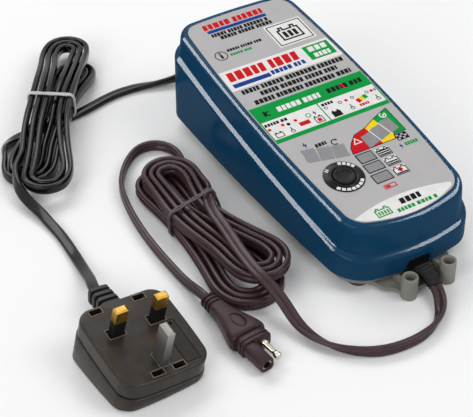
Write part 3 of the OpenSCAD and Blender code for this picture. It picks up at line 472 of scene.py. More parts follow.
def swept(path, rolls, section):
    """A section, or one for each place, carried along a path; at roll 0 its long side stands up, and roll
    turns it about the path."""
    t = np.gradient(path, axis=0)
    t /= np.linalg.norm(t, axis=1)[:, None]
    s = np.cross(t, [0, 0, 1])
    s /= np.linalg.norm(s, axis=1)[:, None]
    q = np.cross(s, t)
    c, n = np.cos(np.radians(rolls))[:, None, None], np.sin(np.radians(rolls))[:, None, None]
    section = np.broadcast_to(section, (len(path),) + section.shape[-2:])
    x, y = section[..., :1], section[..., 1:]
    return loft(path[:, None] + s[:, None] * (x * c - y * n) + q[:, None] * (x * n + y * c))


PATHS = {}


def make_lead(name, start, rolls, hank, end, end_rolls, first, last, section, material):
    """One lead from the case over its hank to its end piece, as a single swept skin."""
    middle = hank_points(hank)
    points = np.vstack([start, middle, end])
    path, s, x = spline(points, first, last, sizes().lead_step / MM)
    roll = np.interp(s, x, list(rolls) + [0] * len(middle) + list(end_rolls))
    part = swept(path, roll, section)
    lead = solid(name, part, material, 60)
    uv = lead.data.uv_layers.new(name="along")
    m = len(section)
    index = np.empty(len(lead.data.loops), np.int32)
    lead.data.loops.foreach_get("vertex_index", index)
    flat = np.column_stack([s[index // m] * MM, (index % m) / m]).astype(np.float32)
    uv.data.foreach_set("uv", flat.ravel())
    PATHS[name] = (path, float(np.linalg.norm(np.diff(path, axis=0), axis=1).sum()))
    return lead


# The camera as it was solved: sensor in mm, width of the picture and focal length in its pixels.
SENSOR, PICTURE_WIDE, FOCAL = 36.0, 473, 1500


class CHARGER_OT_stage(bpy.types.Operator):
    """Sets the camera at the picture's angle, a pale floor, soft lamps and a white surround"""
    bl_idname = "charger.stage"
    bl_label = "Stage"

    def execute(self, context):
        context.scene.view_settings.view_transform = "Standard"
        self.camera(context.scene)
        self.lamps(context.scene)
        self.floor()
        self.surround(context.scene)
        return {"FINISHED"}

    def camera(self, scene):
        """A long lens, turned and raised by the angles in degrees and set back in metres from its target."""
        az, el, dist = math.radians(-31.34), math.radians(39.23), 0.7981
        back = Vector((math.sin(az) * math.cos(el), -math.cos(az) * math.cos(el), math.sin(el)))
        target = Vector((-0.05555, -0.00798, 0.00893))
        data = bpy.data.cameras.new("camera")
        data.sensor_fit, data.sensor_width = "HORIZONTAL", SENSOR
        data.lens = FOCAL * SENSOR / PICTURE_WIDE
        data.clip_start, data.clip_end = 0.01, 50
        camera = bpy.data.objects.new("camera", data)
        camera.location = target + back * dist
        camera.rotation_euler = back.to_track_quat("Z", "Y").to_euler()
        scene.collection.objects.link(camera)
        scene.camera = camera

    def lamps(self, scene):
        """Three softboxes round the object, and two strips for the cover's reflections."""
        polished, aim = bpy.data.collections.new("polished"), Vector((-0.03, 0, 0.03))
        for name, place, wide, high, power in (
                ("back_softbox", (0.0, 0.9, 1.12), 1.4, 0.55, 8.0),
                ("side_softbox", (0.58, -0.62, 1.12), 0.5, 0.8, 5.0),
                ("front_softbox", (-1.25, -0.5, 0.75), 0.9, 0.7, 7.0),
                ("left_strip", (-0.9, 0.62, 0.5), 1.0, 0.75, 140.0),
                ("right_strip", (0.9, -0.42, 0.74), 1.6, 0.75, 200.0)):
            lamp = bpy.data.lights.new(name, "AREA")
            lamp.shape, lamp.size, lamp.size_y, lamp.energy = "RECTANGLE", wide, high, power
            obj = bpy.data.objects.new(name, lamp)
            obj.visible_camera = False
            if name.endswith("strip"):
                # The strips light nothing by themselves: they are only mirrored in the polished cover.
                obj.visible_diffuse = obj.visible_transmission = False
                obj.light_linking.receiver_collection = polished
            obj.location = place
            obj.rotation_euler = (Vector(place) - aim).to_track_quat("Z", "Y").to_euler()
            scene.collection.objects.link(obj)

    def floor(self):
        """A flat sheet of paper: white to the eye, and grey only where the object shades it."""
        half = sizes().floor_size / MM / 2
        sheet = solid("floor", box(-half, -half, -2, half, half, 0), None)
        mat, tree, place = blank("paper_sheet_matt")
        # Paper fibre of about 2 mm, drawn this coarse so that it shows at all.
        fibre = add(tree, "ShaderNodeTexNoise", {"Vector": place}, Scale=500.0, Detail=2.0)
        ramp = add(tree, "ShaderNodeValToRGB", {"Fac": fibre.outputs["Fac"]})
        ramp.color_ramp.elements[0].color = shade(colours().floor, 0.99)
        ramp.color_ramp.elements[1].color = shade(colours().floor, 1.0)
        paper = add(tree, "ShaderNodeBsdfPrincipled", {"Base Color": ramp.outputs["Color"]}, Roughness=0.9)
        add(tree, "ShaderNodeOutputMaterial", {"Surface": paper.outputs["BSDF"]})
        sheet.data.materials.append(mat)

    def surround(self, scene):
        """Soft grey light all round, shown as white to the camera, to gloss and through clear pieces."""
        world = bpy.data.worlds.new("surround")
        scene.world = world
        world.use_nodes = True
        tree = world.node_tree
        tree.nodes.clear()
        path = add(tree, "ShaderNodeLightPath")
        a = add(tree, "ShaderNodeMath", {0: path.outputs["Is Camera Ray"], 1: path.outputs["Is Glossy Ray"]},
                operation="MAXIMUM")
        b = add(tree, "ShaderNodeMath", {0: a.outputs[0], 1: path.outputs["Is Transmission Ray"]},
                operation="MAXIMUM")
        soft = add(tree, "ShaderNodeBackground", Color=linear("#ffffff"), Strength=0.42)
        white = add(tree, "ShaderNodeBackground", Color=linear("#ffffff"), Strength=1.0)
        both = add(tree, "ShaderNodeMixShader", {0: b.outputs[0], 1: soft.outputs[0], 2: white.outputs[0]})
        add(tree, "ShaderNodeOutputWorld", {"Surface": both.outputs[0]})


class CHARGER_OT_mains_lead(bpy.types.Operator):
    """Sweeps the flat mains lead from the case through its hank to the plug"""
    bl_idname = "charger.mains_lead"
    bl_label = "Mains lead"

    def execute(self, context):
        # Soft PVC, drawn through a die: near black, smooth, with long soft highlights.
        jacket = moulded("pvc_jacket_extruded", colours().mains, grain=1.2, cloud=14, spread=0.2,
                         rough=(0.08, 0.14), bump=0.01, IOR=1.53, gloss=0.26)
        wide, thin = sizes().mains_width / MM, sizes().mains_thick / MM
        lead = make_lead("mains_lead", MAINS_IN, MAINS_ROLL, MAINS_HANK, MAINS_OUT, MAINS_OUT_ROLL,
                         (0, 1, 0), (.0073, -.9976, .0694), lead_section(wide, thin, 0.06), jacket)
        settle(lead, "mains_jacket", "mains_lead_inner", "mains_hank", "mains_lead_outer")
        return {"FINISHED"}


class CHARGER_OT_battery_lead(bpy.types.Operator):
    """Sweeps the grooved twin battery lead from the case through its hank to the connector"""
    bl_idname = "charger.battery_lead"
    bl_label = "Battery lead"

    def execute(self, context):
        # Cold-resistant rubbery PVC, extruded as a twin: brown black, satin, a groove between the cores.
        jacket = moulded("rubber_twin_extruded", colours().battery, grain=0.8, cloud=11, spread=0.18,
                         rough=(0.16, 0.26), bump=0.015, IOR=1.52, gloss=0.22)
        wide, thin = sizes().battery_width / MM, sizes().battery_thick / MM
        lead = make_lead("battery_lead", BATTERY_IN, BATTERY_ROLL, BATTERY_HANK, BATTERY_OUT,
                         [0] * len(BATTERY_OUT), (0, -1, 0), (.0872, -.9962, 0),
                         lead_section(wide, thin, 0.6, 28), jacket)
        settle(lead, "battery_jacket", "dc_lead_inner", "dc_hank", "dc_lead_outer")
        return {"FINISHED"}


class CHARGER_OT_case(bpy.types.Operator):
    """Builds the gloss cover with its rim and ledge, and the grey base with its tongues and ears"""
    bl_idname = "charger.case"
    bl_label = "Case"

    def execute(self, context):
        self.cover()
        self.base()
        return {"FINISHED"}

    def cover(self):
        """Rings of the case's outline: up inside the wall from the roof to the skirt, then out and over the
        ledge, the upper wall and the rolled rim to the label's edge, with smooth curves between them."""
        outer = curved([level(*r) for r in COVER_OUT], 4)
        rings = np.concatenate([[level(*r) for r in COVER_IN], outer])
        # High-gloss ABS from a polished mould: deep blue, sharp reflections, a faint waviness.
        gloss = moulded("abs_gloss_moulded", colours().cover, grain=4, cloud=40, spread=0.05,
                        rough=(0.12, 0.18), bump=0.004, IOR=1.54,
                        gloss=0.0, **{"Coat Weight": 0.14, "Coat Roughness": 0.12})
        obj = solid("cover_shell", loft(rings), gloss, 30)
        bpy.data.collections["polished"].objects.link(obj)
        notch = loft([np.column_stack([NOTCH[:, 0], np.full(len(NOTCH), y), NOTCH[:, 1]]) for y in (-10, 10)])
        hole = on_label(moved(lathe([[6.35, -6], [6.35, 4]], 64), shift=(*BUTTON, 0)))
        cut(obj, joined([moved(notch, shift=(0, y, 0)) for y in (-NOTCH_Y, NOTCH_Y)] + [hole]), 30)
        settle(obj, "cover_gloss", "top_cover")

    def base(self):
        """Rings of the same outline, rounded up from the floor plate to an upright lip inside the cover,
        with a plate that narrows to each pair of ears, and ears turned as bored tubes with broken edges."""
        rings = np.concatenate([curved([level(*r) for r in BASE_OUT], 3), [level(*r) for r in BASE_IN]])
        # Spark-textured ABS: warm grey, matt, with a fine even grain that paler edges rub smooth.
        grey = moulded("abs_textured_moulded", colours().base, grain=0.7, cloud=16, spread=0.07,
                       rough=(0.42, 0.6), bump=0.03, IOR=1.54)
        obj = solid("base_shell", loft(rings), grey, 30)
        cut(obj, joined([box(-7.6, s * NOTCH_Y - 9, 5.2, 7.6, s * NOTCH_Y + 9, 25) for s in (-1, 1)]), 30)
        half = curved(np.array([EAR_X, EAR_Y]) + np.array(TONGUE) * [1, -1], 3)
        plate = np.concatenate([half, half[::-1] * [-1, 1]])
        tongues = solid("tongues", joined([prism(plate * [1, s], 1.5, 3.5) for s in (-1, 1)]), grey, 30)
        bore = lathe([[EAR_HOLE, -2], [EAR_HOLE, 20]], 40)
        cut(tongues, joined([moved(bore, shift=(t * EAR_X, s * EAR_Y, 0)) for s in (-1, 1) for t in (-1, 1)]), 30)
        ear = lathe([[EAR_HOLE, 0], [3.9, 0], [4.3, .4], [4.3, 12.7], [4.15, 13.1], [3.85, 13.35], [3.5, 13.4],
                     [3.1, 13.25], [2.75, 12.8], [EAR_HOLE, 12.2]], 56, closed=True)
        parts = []
        for s in (-1, 1):
            for t in (-1, 1):
                parts.append(moved(ear, shift=(t * EAR_X, s * EAR_Y, 0)))
                a, b = sorted((s * 84, s * (EAR_Y - 3.6)))
                parts.append(box(t * EAR_X - 1.2, a, 1.6, t * EAR_X + 1.2, b, 6.5))
        for x, y in CASE_POSTS:
            parts.append(moved(lathe([[1.7, 4.5], [4, 4.5], [4, 12], [1.7, 12]], 24, True), shift=(x, y, 0)))
        ears = solid("ears", joined(parts), grey, 30)
        with bpy.context.temp_override(active_object=obj, object=obj, selected_objects=[obj, tongues, ears],
                                       selected_editable_objects=[obj, tongues, ears]):
            bpy.ops.object.join()
        settle(obj, "base_grey", "base_tray")


# Print on the label

def rect(x0, y0, x1, y1, r=0.0, lean=0.0):
    """A rectangle with round corners, its upper edge shifted by `lean`."""
    r = min(r, (x1 - x0) / 2, (y1 - y0) / 2)
    if r <= 0:
        p = np.array([[x1, y1], [x0, y1], [x0, y0], [x1, y0]], float)
    else:
        c, w = ring_columns(4, 1, 1)
        p = c * [(x1 - x0) / 2 - r, (y1 - y0) / 2 - r] + w * r + [(x0 + x1) / 2, (y0 + y1) / 2]
    p[:, 0] += lean * (p[:, 1] - y0) / (y1 - y0)
    return p


def disc(x, y, r, count=32):
    """A circle as an outline."""
    a = np.arange(count) * 2 * np.pi / count
    return np.column_stack([x + r * np.cos(a), y + r * np.sin(a)])


def outlined(outline, inset):
    """The band between an outline and the same outline drawn in towards its middle by `inset`."""
    p = np.asarray(outline, float)
    nxt, prv = np.roll(p, -1, 0), np.roll(p, 1, 0)
    d1, d2 = nxt - p, p - prv
    d1 /= np.linalg.norm(d1, axis=1)[:, None]
    d2 /= np.linalg.norm(d2, axis=1)[:, None]
    n = np.column_stack([-(d1 + d2)[:, 1], (d1 + d2)[:, 0]])
    n /= np.maximum(1e-9, np.linalg.norm(n, axis=1))[:, None]
    half = np.maximum(0.35, np.abs((n * np.column_stack([-d1[:, 1], d1[:, 0]])).sum(1)))
    area = (p[:, 0] * nxt[:, 1] - p[:, 1] * nxt[:, 0]).sum()
    return p, p + n * (inset / half)[:, None] * np.sign(area)


def frame_band(outline, inset, z0, z1):
    """The band inside an outline, carried straight up from z0 to z1."""
    a, b = outlined(outline, inset)
    up = lambda q, z: np.column_stack([q, np.full(len(q), z)])
    return loft([up(a, z0), up(a, z1), up(b, z1), up(b, z0)], wrap=True)


def arc_bar(x, y, r0, r1, a0, a1, count=10):
    """A piece of a flat ring between two radii and two angles in degrees."""
    a = np.radians(np.linspace(a0, a1, count))
    c, s = np.cos(a), np.sin(a)
    return np.concatenate([np.column_stack([x + r1 * c, y + r1 * s]),
                           np.column_stack([x + r0 * c, y + r0 * s])[::-1]])


def bolt(x, y, size):
    """A plain lightning sign: six points about its middle."""
    shape = np.array([[.15, 1], [-.55, -.1], [-.05, -.1], [-.2, -1], [.55, .2], [.05, .2]])
    return shape * size + [x, y]


def battery_sign(x0, y0, x1, y1):
    """A box with two short posts on its upper edge, as one outline."""
    w, h = x1 - x0, y1 - y0
    t = y1 - 0.18 * h
    return np.array([[x1, y0], [x1, t], [x1 - .12 * w, t], [x1 - .12 * w, y1], [x1 - .34 * w, y1],
                     [x1 - .34 * w, t], [x0 + .34 * w, t], [x0 + .34 * w, y1], [x0 + .12 * w, y1],
                     [x0 + .12 * w, t], [x0, t], [x0, y0]])


def film_edge(y):
    """Half the film's width at a place along the label: straight sides that swell by a parabola."""
    along = np.asarray(y, float) * math.cos(math.radians(LABEL_TILT)) - LABEL_Y
    return FILM_WIDE - LABEL_BOW * (along / LABEL_LONG) ** 2


def band(y0, y1, inset=0.3):
    """A strip across the film between two places, its ends on the film's bowed sides."""
    y = np.linspace(y0, y1, 8)
    x = film_edge(y) - inset
    return np.concatenate([np.column_stack([x, y]), np.column_stack([-x, y])[::-1]])


INKS = {"red": "#c8151f", "blue": "#1b3c8c", "black": "#131315", "green": "#06933f", "white": "#e4e4e2",
        "yellow": "#f0d01c", "grey": "#8e8d90"}
# Rows of bars: colour, left, right, low, high, layer, width of a bar.
BAR_ROWS = (
    ("red", -23.4, 15, 79.6, 84, 1, 2.7), ("black", -22.2, 15, 72.7, 75.5, 1, 1.5),
    ("black", -18.4, 16.6, 69.3, 72.1, 1, 1.5), ("black", -20.9, 1.2, 58.6, 60.6, 1, 1.2),
    ("green", -20.9, -6.8, 54.9, 56.7, 1, 1.2), ("red", -32.6, 14.6, 35.9, 43, 1, 3.5),
    ("blue", -8.8, 10, 31.3, 34.6, 1, 1.9), ("white", 19.6, 31.4, 38.2, 42.2, 2, 3),
    ("white", 20.4, 31.8, 33, 36.4, 2, 2), ("black", -31.8, 32.8, 24.2, 27.6, 1, 1.8),
    ("black", -23, 26, 19.4, 22.7, 1, 1.8), ("black", -29.7, 31.6, 14.2, 17.6, 1, 1.8),
    ("white", -22, 4.9, 4.2, 8, 1, 2.1), ("black", 9.9, 33, 4.7, 8.3, 1, 2),
    ("black", -35, -20, -3.3, -1.2, 2, 1.4), ("black", 1, 9, -2.8, -0.8, 2, 1.4),
    ("red", 19.8, 26, -11.9, -10, 2, 1.2), ("black", -19.3, -12.6, -28, -25.6, 1, 1.4),
    ("green", 23.7, 31.6, -48, -45.7, 1, 1.3), ("black", -3.4, 9.9, -82, -78.2, 1, 2.4),
    ("green", -8, 16.6, -86.2, -83.8, 1, 1.7))
# Plain boxes: colour, left, low, right, high, corner, layer, and the line's width of one drawn as a frame.
BOXES = (
    ("blue", -22.6, 76.4, 15.3, 78.7, 0, 1), ("black", -26.6, 54.9, -25.2, 58.1, 0.3, 1),
    ("white", 7.4, 48.4, 31.2, 68, 0.6, 0), ("black", 8.4, 49.4, 30.2, 67, 0.4, 1, 0.6),
    ("blue", -33, 30.6, -9.7, 33.7, 0, 1), ("blue", 11.2, 31.4, 13.2, 34.6, 0, 1),
    ("green", 17.4, 31.8, 33.8, 43.4, 0, 1), ("red", 19.4, 4.7, 21, 8.3, 0.3, 2),
    ("green", -0.9, -13.7, -0.2, 0.5, 0, 2), ("red", -6.9, -11.9, -4.5, -9.4, 0, 2),
    ("red", -17.5, -10.7, -11, -7.8, 0.3, 2), ("black", 22.4, -43.3, 29.5, -38.3, 0, 1, 0.5),
    ("red", 9.9, -62.6, 11.2, -59.7, 0, 3), ("red", 9.1, -61.8, 12, -60.5, 0, 3),
    ("red", -4.6, -70, 2.8, -67, 0.3, 1, 0.5), ("red", -3.6, -69.2, -0.8, -67.8, 0, 1))
# Round marks: colour, place, radius, corners, layer, and the line's width of one drawn as a ring.
DISCS = (
    [("black", -25.9, 57.2, 3.8, 32, 1, 0.5), ("black", -25.9, 59.2, 0.7, 16, 1), ("black", -22.6, -6.2, 1.1, 20, 2),
     ("green", -9.5, -5.2, 1.6, 24, 2, 0.5)]
    + [("red", x, y, 1, 20, 2) for x, y in ((-34, -5.7), (-25.7, -5.4), (-17.8, -5.4), (15.3, -4.2), (32, -3.8))]
    + [("black", x, y, 1.1, 20, 2, 0.4) for x, y in ((2, -4.6), (11.3, -4.2), (19.5, -3.8), (29, -3.8))])
# Battery signs: colour, left, low, right, high, layer, and the line's width of one drawn as a frame.
BATTERIES = (
    ("black", 12.4, 52.6, 26.2, 64, 1, 1.1), ("black", -33.4, -13, -28.4, -8.8, 2, 0.5),
    ("black", 2.6, -13, 8, -8, 2), ("black", -8.3, -12.8, -3.1, -7.2, 2, 0.5),
    ("green", -19.3, -85, -10.5, -78.8, 1, 0.7))
# Lightning signs: place, size, layer.
BOLTS = ((-5.5, -5, 2, 2), (34.2, -3.8, 1.7, 2), (-23.8, -23.8, 2.4, 1), (21.3, -47, 2, 1))
# Other outlines on the label: colour, corners, layer, and the line's width of one drawn as a frame.
SHAPES = (
    ("black", [(-6.2, -28.2), (-8, -27.4), (-6.8, -26.4)], 1),
    ("red", [(11.75, -26.8), (3.7, -28.8), (-1.3, -33.3), (-3.8, -36.7), (-5.2, -41.2), (14.1, -41.2)], 0),
    ("yellow", [(19.5, -22.9), (11.75, -26.8), (14.1, -41.2), (22, -41.2), (23.2, -36.7)], 0),
    ("green", [(31, -18.6), (19.5, -22.9), (23.2, -36.7), (23.3, -38), (31, -37.9)], 0),
    ("black", [(31, -18.6), (19.5, -22.9), (12, -26.7), (3.7, -28.8), (-1.3, -33.3), (-3.8, -36.7), (-5.2, -41.2),
               (22, -41.2), (23.3, -38), (31, -37.9)], 1, 0.4),
    ("grey", [(-28.6, -35.8), (-22.8, -37.1), (-20.8, -27.9), (-28.3, -26.5)], 2),
    ("grey", [(-22.2, -37.3), (-15.1, -39), (-13, -30.7), (-19.9, -29)], 2),
    ("grey", [(-14.4, -39.2), (-6.5, -41), (-6.1, -32.1), (-12.2, -30.7)], 2),
    ("grey", [(5.75, -41), (14.5, -38.6), (12.4, -30.4), (5.75, -32.1)], 2),
    ("grey", [(14.5, -38.6), (22.5, -36.1), (20.2, -27.6), (12.4, -29.8)], 2),
    ("grey", [(22.5, -36.4), (28.5, -34.8), (27.4, -25.4), (20.2, -27.4)], 2),
    ("white", [(12.1, -29.4), (14.2, -39.2), (14.8, -39.2), (12.7, -29.4)], 3),
    ("white", [(19.9, -26.8), (22.2, -37.2), (22.8, -37.2), (20.5, -26.8)], 3),
    ("white", [(2.2, -30.8), (-0.5, -35.4), (4.9, -35.4)], 1, 0.6),
    ("white", [(24.8, -24.6), (25.4, -25), (27.4, -22.4), (26.8, -22)], 1))
# Front edge of the white lens at the label's end.
LENS_EDGE = [(27.5, -82.4), (25.3, -83.6), (19, -86.1), (12, -87.9), (5.5, -88.8), (-0.9, -89.1), (-7, -88.7),
             (-13, -87.6), (-19.5, -86), (-25.5, -83.9), (-28.6, -82)]


class CHARGER_OT_label(bpy.types.Operator):
    """Prints plain bands, bars, boxes and simple marks on the label film"""
    bl_idname = "charger.label"
    bl_label = "Label print"

    def execute(self, context):
        ink = sizes().ink / MM
        inks = {colour: [] for colour in INKS}

        def put(colour, outline, layer=0, line=None, top=0.5):
            z0, z1 = top - 0.02, top + ink * (layer + 1)
            inks[colour].append(prism(outline, z0, z1) if line is None else frame_band(outline, line, z0, z1))

        self.bands(put)
        self.tables(put)
        self.cells(put)
        self.gauge(put)
        for colour, parts in inks.items():
            # Screen-printed ink: even and satin, a little thin where the mesh left its marks.
            mat = moulded("screen_ink_" + colour, INKS[colour], grain=0.5, cloud=5, spread=0.05,
                          rough=(0.5, 0.6), bump=0.004, IOR=1.45, gloss=0.06)
            settle(solid("print_" + colour, on_label(joined(parts)), mat, 30), "label_film")
        return {"FINISHED"}

    def row(self, put, seed, colour, x0, x1, y0, y1, layer, wide):
        """Short upright bars in groups of four to eight, their widths drawn at random from a seed."""
        rng = np.random.default_rng(seed)
        x, left = x0, 5
        while x + wide * 0.6 < x1:
            w = min(x1 - x, wide * (0.8 + 0.5 * rng.random()))
            put(colour, rect(x, y0, x + w, y1, 0.12 * wide, 0.1 * (y1 - y0)), layer)
            left -= 1
            x += w + (0.3 * wide if left else 0.9 * wide)
            left = left or int(rng.integers(4, 9))

    def bands(self, put):
        """Bands right across the film, and the white lens at its front end under a parabola."""
        for colour, low, high, *more in (("white", 28.7, 45.1), ("green", 0.5, 12.6), ("green", -16.6, -13.7),
                                         ("green", -13.7, 0.5), ("white", -13.7, 0.5, 1.0, 1)):
            put(colour, band(low, high, *more[:1]), *more[1:])
        t = np.linspace(0, 1, 15)[:, None]
        upper = (1 - t) ** 2 * [(-30.9, -80)] + 2 * t * (1 - t) * [(-0.9, -70.8)] + t**2 * [(28.9, -80.4)]
        put("white", np.concatenate([upper, LENS_EDGE]))

    def tables(self, put):
        """The marks that the tables above list."""
        for seed, row in enumerate(BAR_ROWS, 2):
            self.row(put, seed, *row)
        for colour, x0, y0, x1, y1, corner, *how in BOXES:
            put(colour, rect(x0, y0, x1, y1, corner), *how)
        for colour, x, y, r, count, *how in DISCS:
            put(colour, disc(x, y, r, count), *how)
        for colour, x0, y0, x1, y1, *how in BATTERIES:
            put(colour, battery_sign(x0, y0, x1, y1), *how)
        for x, y, size, layer in BOLTS:
            put("blue", bolt(x, y, size), layer)
        for colour, corners, *how in SHAPES:
            put(colour, corners, *how)

    def cells(self, put):
        """Bars in the battery signs, signs for turning and pressing, and a small bar of three colours."""
        for i in range(3):
            put("black", rect(14.9 + 3.2 * i, 54.6, 17.1 + 3.2 * i, 59.8), 1)
        for i in range(4):
            put("green", rect(-17.9 + 1.7 * i, -83.8, -16.9 + 1.7 * i, -81.4), 1)
        put("black", rect(-30.6, 4, -29.2, 8, 0.2, 0.4), 1)
        put("black", arc_bar(-27.6, 5.6, 1, 1.8, 60, 300), 1)
        put("black", arc_bar(-8.4, -28.6, 1.5, 2.1, 40, 300, 24), 1)
        put("white", arc_bar(26.2, -22.9, 1.4, 2.1, 100, 400, 24), 1)
        for x, y in ((-23, -10.8), (15.3, -10), (32.2, -9.8)):
            put("black", rect(x - 1.3, y - 2, x + 1.3, y + 0.2, 0.9), 2, 0.4)
            put("black", rect(x - 0.3, y - 0.6, x + 0.3, y + 2.2, 0.3), 2)
        turn = np.array([[math.cos(.26), math.sin(.26)], [-math.sin(.26), math.cos(.26)]])
        for i, colour in enumerate(("red", "yellow", "green")):
            put(colour, rect(-3.75 + 2.5 * i, -1.5, -1.25 + 2.5 * i, 1.5) @ turn + [23.8, -6.8], 2)

    def gauge(self, put):
        """A chequered box, three framed windows with battery signs beside them, and arcs round the button."""
        for i in range(3):
            for j in range(4):
                if (i + j) % 2:
                    put("black", rect(22.9 + 1.52 * j, -42.8 + 1.35 * i, 24.42 + 1.52 * j, -41.45 + 1.35 * i), 1)
        for x0, y0, x1, y1 in ((-5.1, -49.2, 4.9, -42.3), (-5.7, -56.7, 4.9, -50.2), (-6.3, -64.8, 4.5, -58.1)):
            put("black", rect(x0, y0, x1, y1), 2)
            put("grey", rect(x0 + .55, y0 + .55, x1 - .55, y1 - .55), 3)
        for y0, y1, bars in ((-49.2, -43.3, 3), (-56.8, -51, 2), (-64.5, -58.5, 1)):
            put("white", rect(6.6, y0, 14.5, y1), 1)
            put("black", battery_sign(6.6, y0, 14.5, y1), 2, 0.5)
            for i in range(bars):
                put("black", rect(7.3, y0 + .7 + 1.4 * i, 13.8, y0 + 1.6 + 1.4 * i), 2)
        for a0, a1, count in ((22, 80, 4), (122, 138, 2), (212, 326, 7)):
            edges = np.linspace(a0, a1, count + 1)
            for a, b in zip(edges[:-1], edges[1:]):
                put("white", arc_bar(*BUTTON, 8.5, 10.3, a + 1, b - 3, 6), 1, top=0.9)


class CHARGER_OT_button(bpy.types.Operator):
    """Turns the black ring round the button and the dished button cap"""
    bl_idname = "charger.button"
    bl_label = "Button"

    def execute(self, context):
        # Black ABS, polished on the raised bead: dark with a thin bright ring of light.
        bead = moulded("abs_bezel_polished", "#0b0b0c", grain=0.8, cloud=6, spread=0.1,
                       rough=(0.16, 0.24), bump=0.006, IOR=1.5, gloss=0.16)
        ring = lathe([[6.4, .5], [10.7, .5], [11, .58], [10.96, .78], [10.7, .9], [8.4, .91], [8.05, 1], [7.8, 1.3],
                      [7.4, 1.5], [6.9, 1.5], [6.5, 1.3], [6.4, 1]], 96, closed=True)
        settle(solid("button_ring", on_label(moved(ring, shift=(*BUTTON, 0))), bead, 40), "black_trim", "button_bezel")
        # Silicone rubber, moulded: charcoal, dull, with a worn shine where a thumb presses.
        rubber = moulded("silicone_cap_moulded", "#0e0e0f", grain=0.35, cloud=3, spread=0.2,
                         rough=(0.32, 0.46), bump=0.02, IOR=1.43, gloss=0.2)
        cap = lathe([[2, -5.5], [2, -3.9], [7.2, -3.9], [7.2, -2.75], [6, -2.75], [6, 1.3], [5.86, 1.66],
                     [5.5, 1.88], [5, 1.9], [4.6, 1.78], [4.2, 1.5], [3.6, 1.32], [2.6, 1.22], [1.3, 1.17],
                     [.3, 1.16]], 72)
        settle(solid("button_cap", on_label(moved(cap, shift=(*BUTTON, 0))), rubber, 40), "black_trim", "tune_button",
               body="button")
        return {"FINISHED"}


def squared(power, count=48):
    """A round-cornered square of half side 1: sine and cosine raised to a power under 1."""
    a = (np.arange(count) + 0.5) * 2 * np.pi / count
    c, s = np.cos(a), np.sin(a)
    return np.column_stack([np.sign(c) * np.abs(c) ** power, np.sign(s) * np.abs(s) ** power])


def stacked(rows, power, count=48):
    """Round-cornered squares of given half width and half height, stacked along z and skinned."""
    shape = squared(power, count)
    return loft([np.column_stack([shape * [w, h], np.full(count, z)]) for z, w, h in rows])


PLUG_TURN, PLUG_PLACE = about(Z, 3) @ about(Y, 6) @ about(X, 10), np.array([-149.6, -78, 20.3])
LINE_X, LINE_Y, EARTH_Y, CARRIER = 11.1, 6.5, -15.7, (14.6, -9.4)

VENTS = [(-13.5, 22), (10.4, 22), (-5.2, -22.2), (6.4, -22.2)]
PLUG_COLUMNS = ring_columns(12, 14, 16)


def on_plug(part):
    """Carries a part from the plug's own axes, its pins along z, to where the plug lies."""
    return moved(part, PLUG_TURN, PLUG_PLACE)


def plug_ring(o, z):
    """The plug's outline at an offset out from its edge, at one height or at a height for each point."""
    p = bowed_ring(23.5 + o, 25.25 + o, 8 + o, 0.8, 1.2, 0, PLUG_COLUMNS)
    return np.column_stack([p, np.broadcast_to(z, len(p))])


